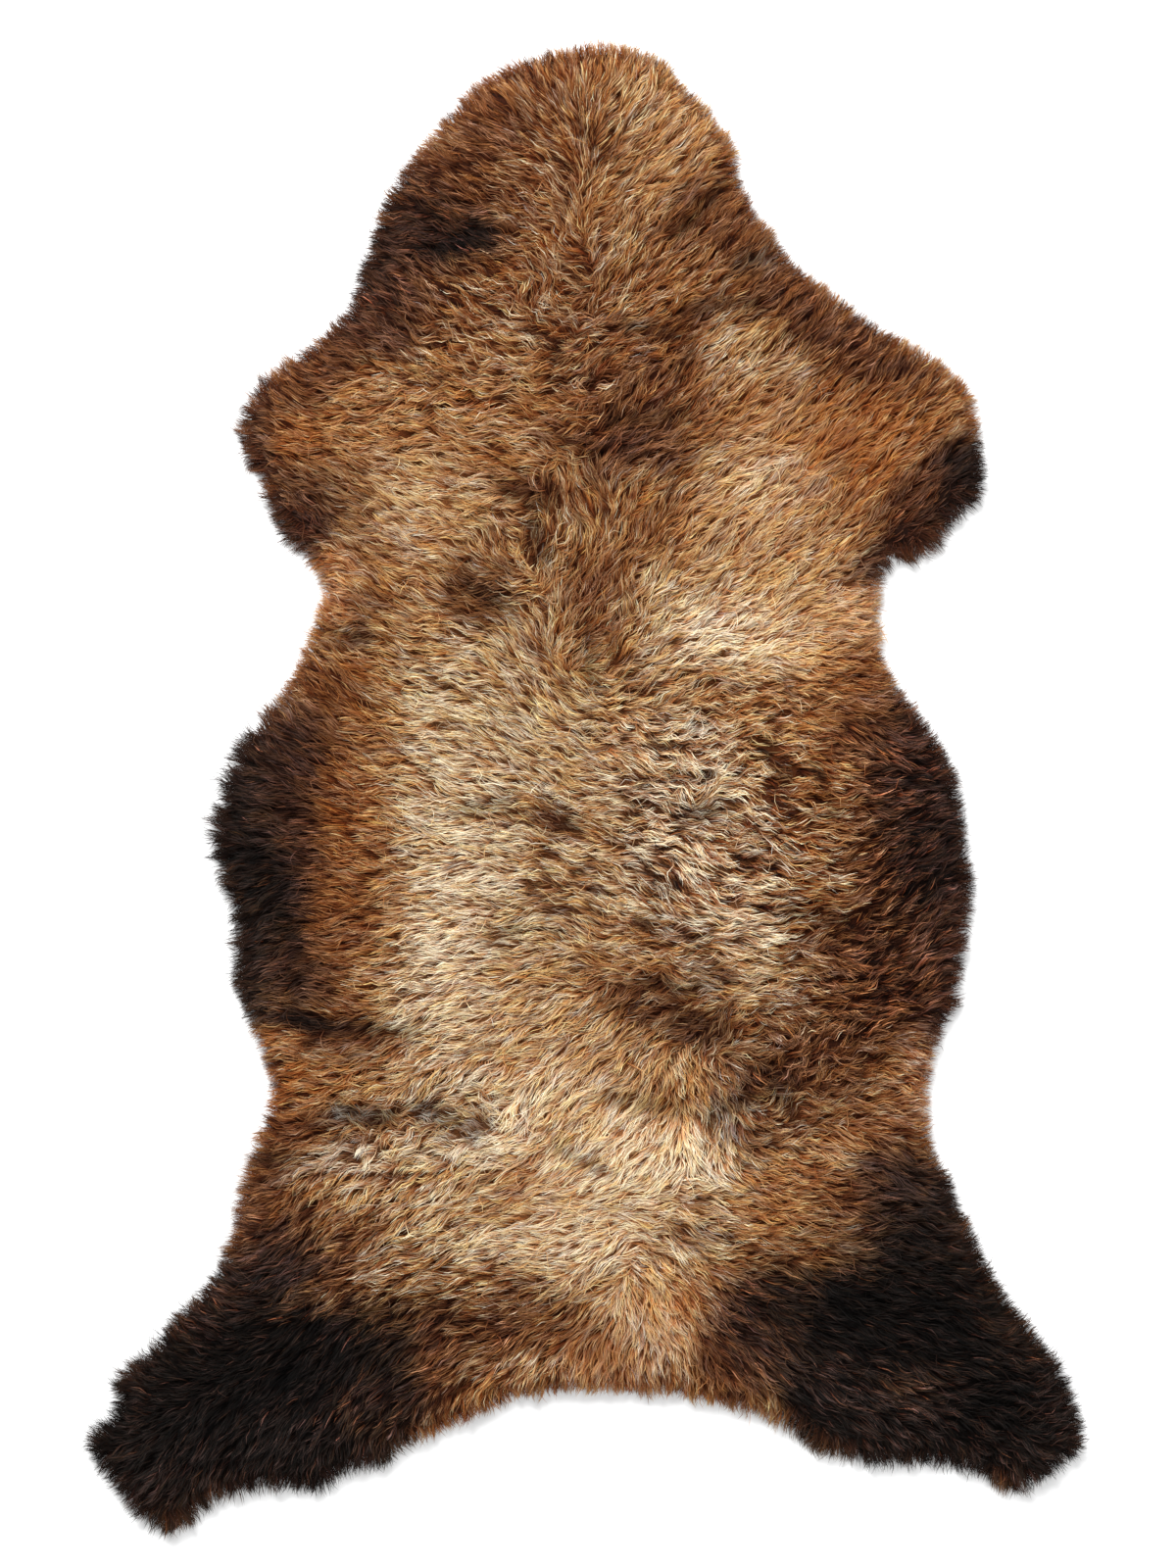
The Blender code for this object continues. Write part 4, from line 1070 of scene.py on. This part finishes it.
WIDE = 500  # past the pelt on either side
REGIONS = (  # name, y from and to, x from and to
    ("wool_neck", 395, 900, -WIDE, WIDE),
    ("wool_shoulders", 215, 395, -WIDE, WIDE),
    ("wool_waist", 60, 215, -WIDE, WIDE),
    ("wool_back", -75, 60, -WIDE, WIDE),
    ("wool_loin", -205, -75, -WIDE, WIDE),
    ("wool_rump", -330, -205, -WIDE, WIDE),
    ("wool_left_hind", -900, -330, -WIDE, -60),
    ("wool_right_hind", -900, -330, -60, WIDE),
)
wool_pieces = []
for name, low_y, high_y, low_x, high_x in REGIONS:
    here = (lock_y >= low_y) & (lock_y < high_y) & (lock_x >= low_x) & (lock_x < high_x)
    strands, tone = paths[here].reshape(-1, STEPS + 1, 3), pelt_tones[here].reshape(-1, 3)
    width = STRAND_WIDTH * rng.uniform(0.7, 1.25, len(tone))
    wool_pieces.append(ribbons(name, strands, tone, width, tip_glow=rng.uniform(0.1, 0.55, len(tone))))

# %% [markdown]
# ## The fringe
#
# Round the rim the locks hang over the cut edge in three layers. They are rooted along the outline itself,
# so the outline stays closely furred on every stretch, and each reaches as far as the fringe length of its
# stretch. Long fringe is shaggy: its locks are more uneven, and drawn together more at the tip.

# %% Fringe mesh
FRINGE_PITCH = 4.6
FRINGE_STRANDS = 10
FRINGE_FINER = 0.8  # width of its strands beside those of the pelt
FRINGE_SHADE = 0.8
SHAGGY_FROM, SHAGGY_SPAN = 12.0, 5.0  # fringe lengths between which it turns shaggy
LAYERS = ((3.6, -4, -16), (7.5, 8, -28), (11.5, 16, -36))  # height of the roots, tilt there and at the tip
arc = np.concatenate([[0], np.cumsum(np.hypot(edge_steps[:, 0], edge_steps[:, 1]))])
closed = np.concatenate([edge, edge[:1]])
layers = []
for root_z, tilt_root, tilt_tip in LAYERS:
    s = np.arange(0, perimeter, FRINGE_PITCH)
    s = (s + rng.uniform(-2.6, 2.6, len(s))) % perimeter
    x, y, fringe = (np.interp(s, arc, closed[:, k]) for k in range(3))
    out = read(OUTWARD, x, y)
    out /= np.linalg.norm(out, axis=1, keepdims=True)
    deep = ROOT_SHARE * fringe + rng.uniform(0, 3, len(s)) + root_z * 0.25
    x, y = x - out[:, 0] * deep, y - out[:, 1] * deep
    toward = out + 0.5 * leans(x, y)
    shaggy = smooth((fringe - SHAGGY_FROM) / SHAGGY_SPAN)
    layers.append(np.stack([
        x, y, np.full(len(s), root_z),
        np.arctan2(toward[:, 1], toward[:, 0]) + (0.10 + 0.18 * shaggy) * rng.normal(0, 1, len(s)),
        fringe * (1.06 + (0.13 + 0.24 * shaggy) * rng.uniform(-1, 1, len(s))) + root_z * 0.5,
        np.radians(tilt_root + rng.normal(0, 5, len(s))),
        np.radians(tilt_tip + rng.normal(0, 6, len(s))),
        shaggy,
    ]))
x, y, root_z, heading, length, lift_root, lift_tip, shaggy = np.concatenate(layers, axis=1)
fringe_locks = lock_table(
    x, y, root_z, heading, length, lift_root, lift_tip,
    wave=rng.uniform(0.15, 0.5, len(x)), spread=rng.uniform(3.0, 4.4, len(x)) + 1.2 * (1 - shaggy),
    clump=0.3 + 0.35 * shaggy, fan=0.18 - 0.08 * shaggy,
)
fringe_paths = grow(fringe_locks, FRINGE_STRANDS)
tone = FRINGE_SHADE * tones(fringe_paths, chance=0.34)
wool_pieces.append(ribbons(
    "wool_fringe", fringe_paths.reshape(-1, STEPS + 1, 3), tone,
    STRAND_WIDTH * FRINGE_FINER * rng.uniform(0.7, 1.15, len(tone)), tip_glow=rng.uniform(0, 0.25, len(tone)),
))

# %% [markdown]
# ## Stray hairs
#
# Single coarse hairs cross the locks at odd angles. They are thin and bend more than a lock does.

# %% Stray hairs
STRAYS = 2600
picked = rng.integers(0, len(lock_x), STRAYS)
x, y = lock_x[picked] + rng.uniform(-4, 4, STRAYS), lock_y[picked] + rng.uniform(-4, 4, STRAYS)
inland = smooth(read(rim_level, x, y) / INLAND)
stray_locks = lock_table(
    x, y, root_z=underwool_top(x, y) + 3.0,
    heading=headings(x, y) + rng.normal(0, 0.9, STRAYS), length=rng.uniform(16, 30, STRAYS),
    lift_root=np.radians(22 + 26 * inland), lift_tip=np.radians(-30 + 30 * inland),
    wave=rng.uniform(0.3, 1.1, STRAYS), spread=np.ones(STRAYS), clump=np.zeros(STRAYS), fan=np.zeros(STRAYS),
)
stray_paths = grow(stray_locks, 1)
wool_pieces.append(ribbons(
    "stray_hairs", stray_paths.reshape(-1, STEPS + 1, 3), tones(stray_paths, chance=0.3),
    rng.uniform(0.35, 0.55, STRAYS), tip_glow=rng.uniform(0.2, 0.9, STRAYS),
))

# %% [markdown]
# ## Finishes
#
# Wool is matt with a soft sheen at grazing angles. The ribbon's colour, painted shade and glow included,
# comes from its points, and fine dark and light fibres run along it from a noise that is stretched 30 to 1
# on the ribbon's own map. The underwool uses the same attribute, much darker because its shade is painted
# into it, with a round noise. Suede has a short nap without direction, so the hide's pattern is read in
# object space and needs no map.

# %% Node helpers
def new_material(name, roughness, sheen, sheen_tint):
    """A material with a Principled shader, and its node tree and shader."""
    material = bpy.data.materials.new(name)
    material.use_nodes = True
    shader = material.node_tree.nodes["Principled BSDF"]
    shader.inputs["Roughness"].default_value = roughness
    shader.inputs["Sheen Weight"].default_value = sheen
    shader.inputs["Sheen Roughness"].default_value = 0.5
    shader.inputs["Sheen Tint"].default_value = (*sheen_tint, 1.0)
    shader.inputs["Specular IOR Level"].default_value = 0.05
    return material, material.node_tree, shader


def add_node(tree, kind, **settings):
    """A node of one kind, with the defaults of its named inputs and its other properties set."""
    node = tree.nodes.new(kind)
    for key, value in settings.items():
        label = key.replace("_", " ")
        if label in node.inputs:
            node.inputs[label].default_value = value
        else:
            setattr(node, key, value)
    return node


def add_bump(tree, shader, pattern, strength, distance):
    """Bump from a pattern's value, as high as the distance in metres."""
    bump = add_node(tree, "ShaderNodeBump", Strength=strength, Distance=distance)
    tree.links.new(pattern.outputs["Fac"], bump.inputs["Height"])
    tree.links.new(bump.outputs["Normal"], shader.inputs["Normal"])


def tone_from_points(tree, shader, pattern, least, most):
    """The points' colour, painted shade included, times a factor from least to most, as the pattern
    goes from 0.3 to 0.7.
    """
    tone = add_node(tree, "ShaderNodeAttribute", attribute_name="fleece_tone")
    factor = add_node(tree, "ShaderNodeMapRange", From_Min=0.3, From_Max=0.7, To_Min=least, To_Max=most)
    scale = add_node(tree, "ShaderNodeVectorMath", operation="SCALE")
    tree.links.new(pattern.outputs["Fac"], factor.inputs["Value"])
    tree.links.new(tone.outputs["Color"], scale.inputs[0])
    tree.links.new(factor.outputs["Result"], scale.inputs["Scale"])
    tree.links.new(scale.outputs["Vector"], shader.inputs["Base Color"])


# %% Wool on the ribbons
wool, tree, shader = new_material("wool_fibre", 0.62, 0.04, (1.0, 0.92, 0.82))
own_map = add_node(tree, "ShaderNodeUVMap", uv_map="fibre")
stretch = add_node(tree, "ShaderNodeMapping", Scale=(3.2, 0.11, 1.0))
fibres = add_node(tree, "ShaderNodeTexNoise", Scale=1.0, Detail=2.0, Roughness=0.6)
tree.links.new(own_map.outputs["UV"], stretch.inputs["Vector"])
tree.links.new(stretch.outputs["Vector"], fibres.inputs["Vector"])
tone_from_points(tree, shader, fibres, least=0.66, most=1.3)
add_bump(tree, shader, fibres, strength=0.25, distance=0.0003)
for piece in wool_pieces:
    piece.data.materials.append(wool)

# %% [markdown]
# Both slabs get a plain map from above: the upper face in the left half of the sheet, the lower face in the
# right half, so nothing overlaps in a bake.

# %% Underwool
# The underwool's colour is the tone map darkened to this share and tinted like the roots: a painted shade.
UNDERWOOL_SHADE = 0.10
UNDERWOOL_LIGHT = 0.3  # how much lighter it is where the fleece is smooth


def map_slab(piece):
    """Top faces map to the left half of the sheet and bottom faces to the right, by their x and y."""
    mesh = piece.data
    corners = corner_points(mesh)
    points = np.zeros(len(mesh.vertices) * 3, np.float32)
    mesh.vertices.foreach_get("co", points)
    points = points.reshape(-1, 3)
    lower = corners >= len(points) // 2
    low, span = points.min(axis=0), np.ptp(points, axis=0)
    u = (points[corners, 0] - low[0]) / span[0] * 0.48 + 0.01 + 0.5 * lower
    v = (points[corners, 1] - low[1]) / span[1] * 0.98 + 0.01
    fill(mesh.uv_layers.new(name="OFBake"), "uv", np.stack([u, v], axis=1))
    return points


points = map_slab(underwool) / MM
smoothness = 1 - np.minimum(read(CREASED, points[:, 0], points[:, 1]), 1.0)
# Painted shade: the underwool is a dark copy of the wool's tone.
dark = np.ones((len(points), 4))
dark[:, :3] = (UNDERWOOL_SHADE + UNDERWOOL_LIGHT * smoothness)[:, None] * ROOT_TINT
dark[:, :3] *= read(TONE, points[:, 0], points[:, 1])
fill(underwool.data.color_attributes.new("fleece_tone", "FLOAT_COLOR", "POINT"), "color", dark)

felt, tree, shader = new_material("felted_underwool", 0.9, 0.1, (1.0, 0.9, 0.8))
place = add_node(tree, "ShaderNodeTexCoord")
mottle = add_node(tree, "ShaderNodeTexNoise", Scale=900.0, Detail=3.0, Roughness=0.65)
tree.links.new(place.outputs["Object"], mottle.inputs["Vector"])
tone_from_points(tree, shader, mottle, least=0.5, most=1.5)
add_bump(tree, shader, mottle, strength=0.6, distance=0.001)
underwool.data.materials.append(felt)

# %% Suede
map_slab(hide)
suede, tree, shader = new_material("suede_flesh_side", 0.88, 0.2, (1.0, 0.95, 0.88))
place = add_node(tree, "ShaderNodeTexCoord")
nap = add_node(tree, "ShaderNodeTexNoise", Scale=420.0, Detail=4.0, Roughness=0.6)
stain = add_node(tree, "ShaderNodeTexNoise", Scale=9.0, Detail=3.0, Roughness=0.55)
nap_mix = add_node(tree, "ShaderNodeMix", data_type="RGBA", blend_type="OVERLAY", Factor=0.35)
stain_ramp = add_node(tree, "ShaderNodeValToRGB")
stains = ((0.35, (0.42, 0.31, 0.20)), (0.68, (0.66, 0.55, 0.41)))
for stop, (position, shade) in zip(stain_ramp.color_ramp.elements, stains):
    stop.position = position
    stop.color = (*shade, 1.0)
tree.links.new(place.outputs["Object"], nap.inputs["Vector"])
tree.links.new(place.outputs["Object"], stain.inputs["Vector"])
tree.links.new(stain.outputs["Fac"], stain_ramp.inputs["Fac"])
tree.links.new(stain_ramp.outputs["Color"], nap_mix.inputs["A"])
tree.links.new(nap.outputs["Color"], nap_mix.inputs["B"])
tree.links.new(nap_mix.outputs["Result"], shader.inputs["Base Color"])
add_bump(tree, shader, nap, strength=0.5, distance=0.0004)
hide.data.materials.append(suede)

# %% [markdown]
# ## Floor and light
#
# The rug lies on a plain white floor under a large soft lamp, with an even white sky that keeps the shadow
# at its rim faint. The lamp stands towards the head, so the tips of the locks catch it and the gaps stay
# dark.

# %% Floor, lamp and sky
bpy.context.scene.view_settings.view_transform = "Standard"
FLOOR_HALF = 6.0
floor_mesh = bpy.data.meshes.new("floor")
floor_corners = [(x * FLOOR_HALF, y * FLOOR_HALF, 0) for x, y in ((-1, -1), (1, -1), (1, 1), (-1, 1))]
floor_mesh.from_pydata(floor_corners, [], [(0, 1, 2, 3)])
floor = bpy.data.objects.new("floor", floor_mesh)
bpy.context.scene.collection.objects.link(floor)
paint, tree, shader = new_material("white_floor", 0.7, 0.0, (1.0, 1.0, 1.0))
shader.inputs["Base Color"].default_value = (0.9, 0.9, 0.9, 1.0)
floor_mesh.materials.append(paint)


def soft_lamp(name, place, size, power):
    """Add a square area lamp at a place in metres, turned to face the rug's middle."""
    data = bpy.data.lights.new(name, "AREA")
    data.shape, data.size, data.energy = "SQUARE", size, power
    lamp = bpy.data.objects.new(name, data)
    lamp.location = place
    lamp.rotation_euler = (-lamp.location).to_track_quat("-Z", "Y").to_euler()
    bpy.context.scene.collection.objects.link(lamp)


soft_lamp("key", (-1.0, 2.3, 2.3), size=1.2, power=190.0)
soft_lamp("fill", (1.6, -1.2, 2.6), size=2.0, power=40.0)
sky = bpy.data.worlds.new("studio")
sky.use_nodes = True
sky.node_tree.nodes["Background"].inputs["Color"].default_value = (1.0, 1.0, 1.0, 1.0)
sky.node_tree.nodes["Background"].inputs["Strength"].default_value = 0.5
bpy.context.scene.world = sky

# %% [markdown]
# ## Joining the pieces to the frame
#
# The pelt has no joints, so every piece rides on its one body. The CAD solid is hidden, and stays for
# collision.

# %% Riding on the body, and hiding the CAD solid
for piece in (hide, underwool, *wool_pieces):
    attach(piece, "root")
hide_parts("sheepskin")
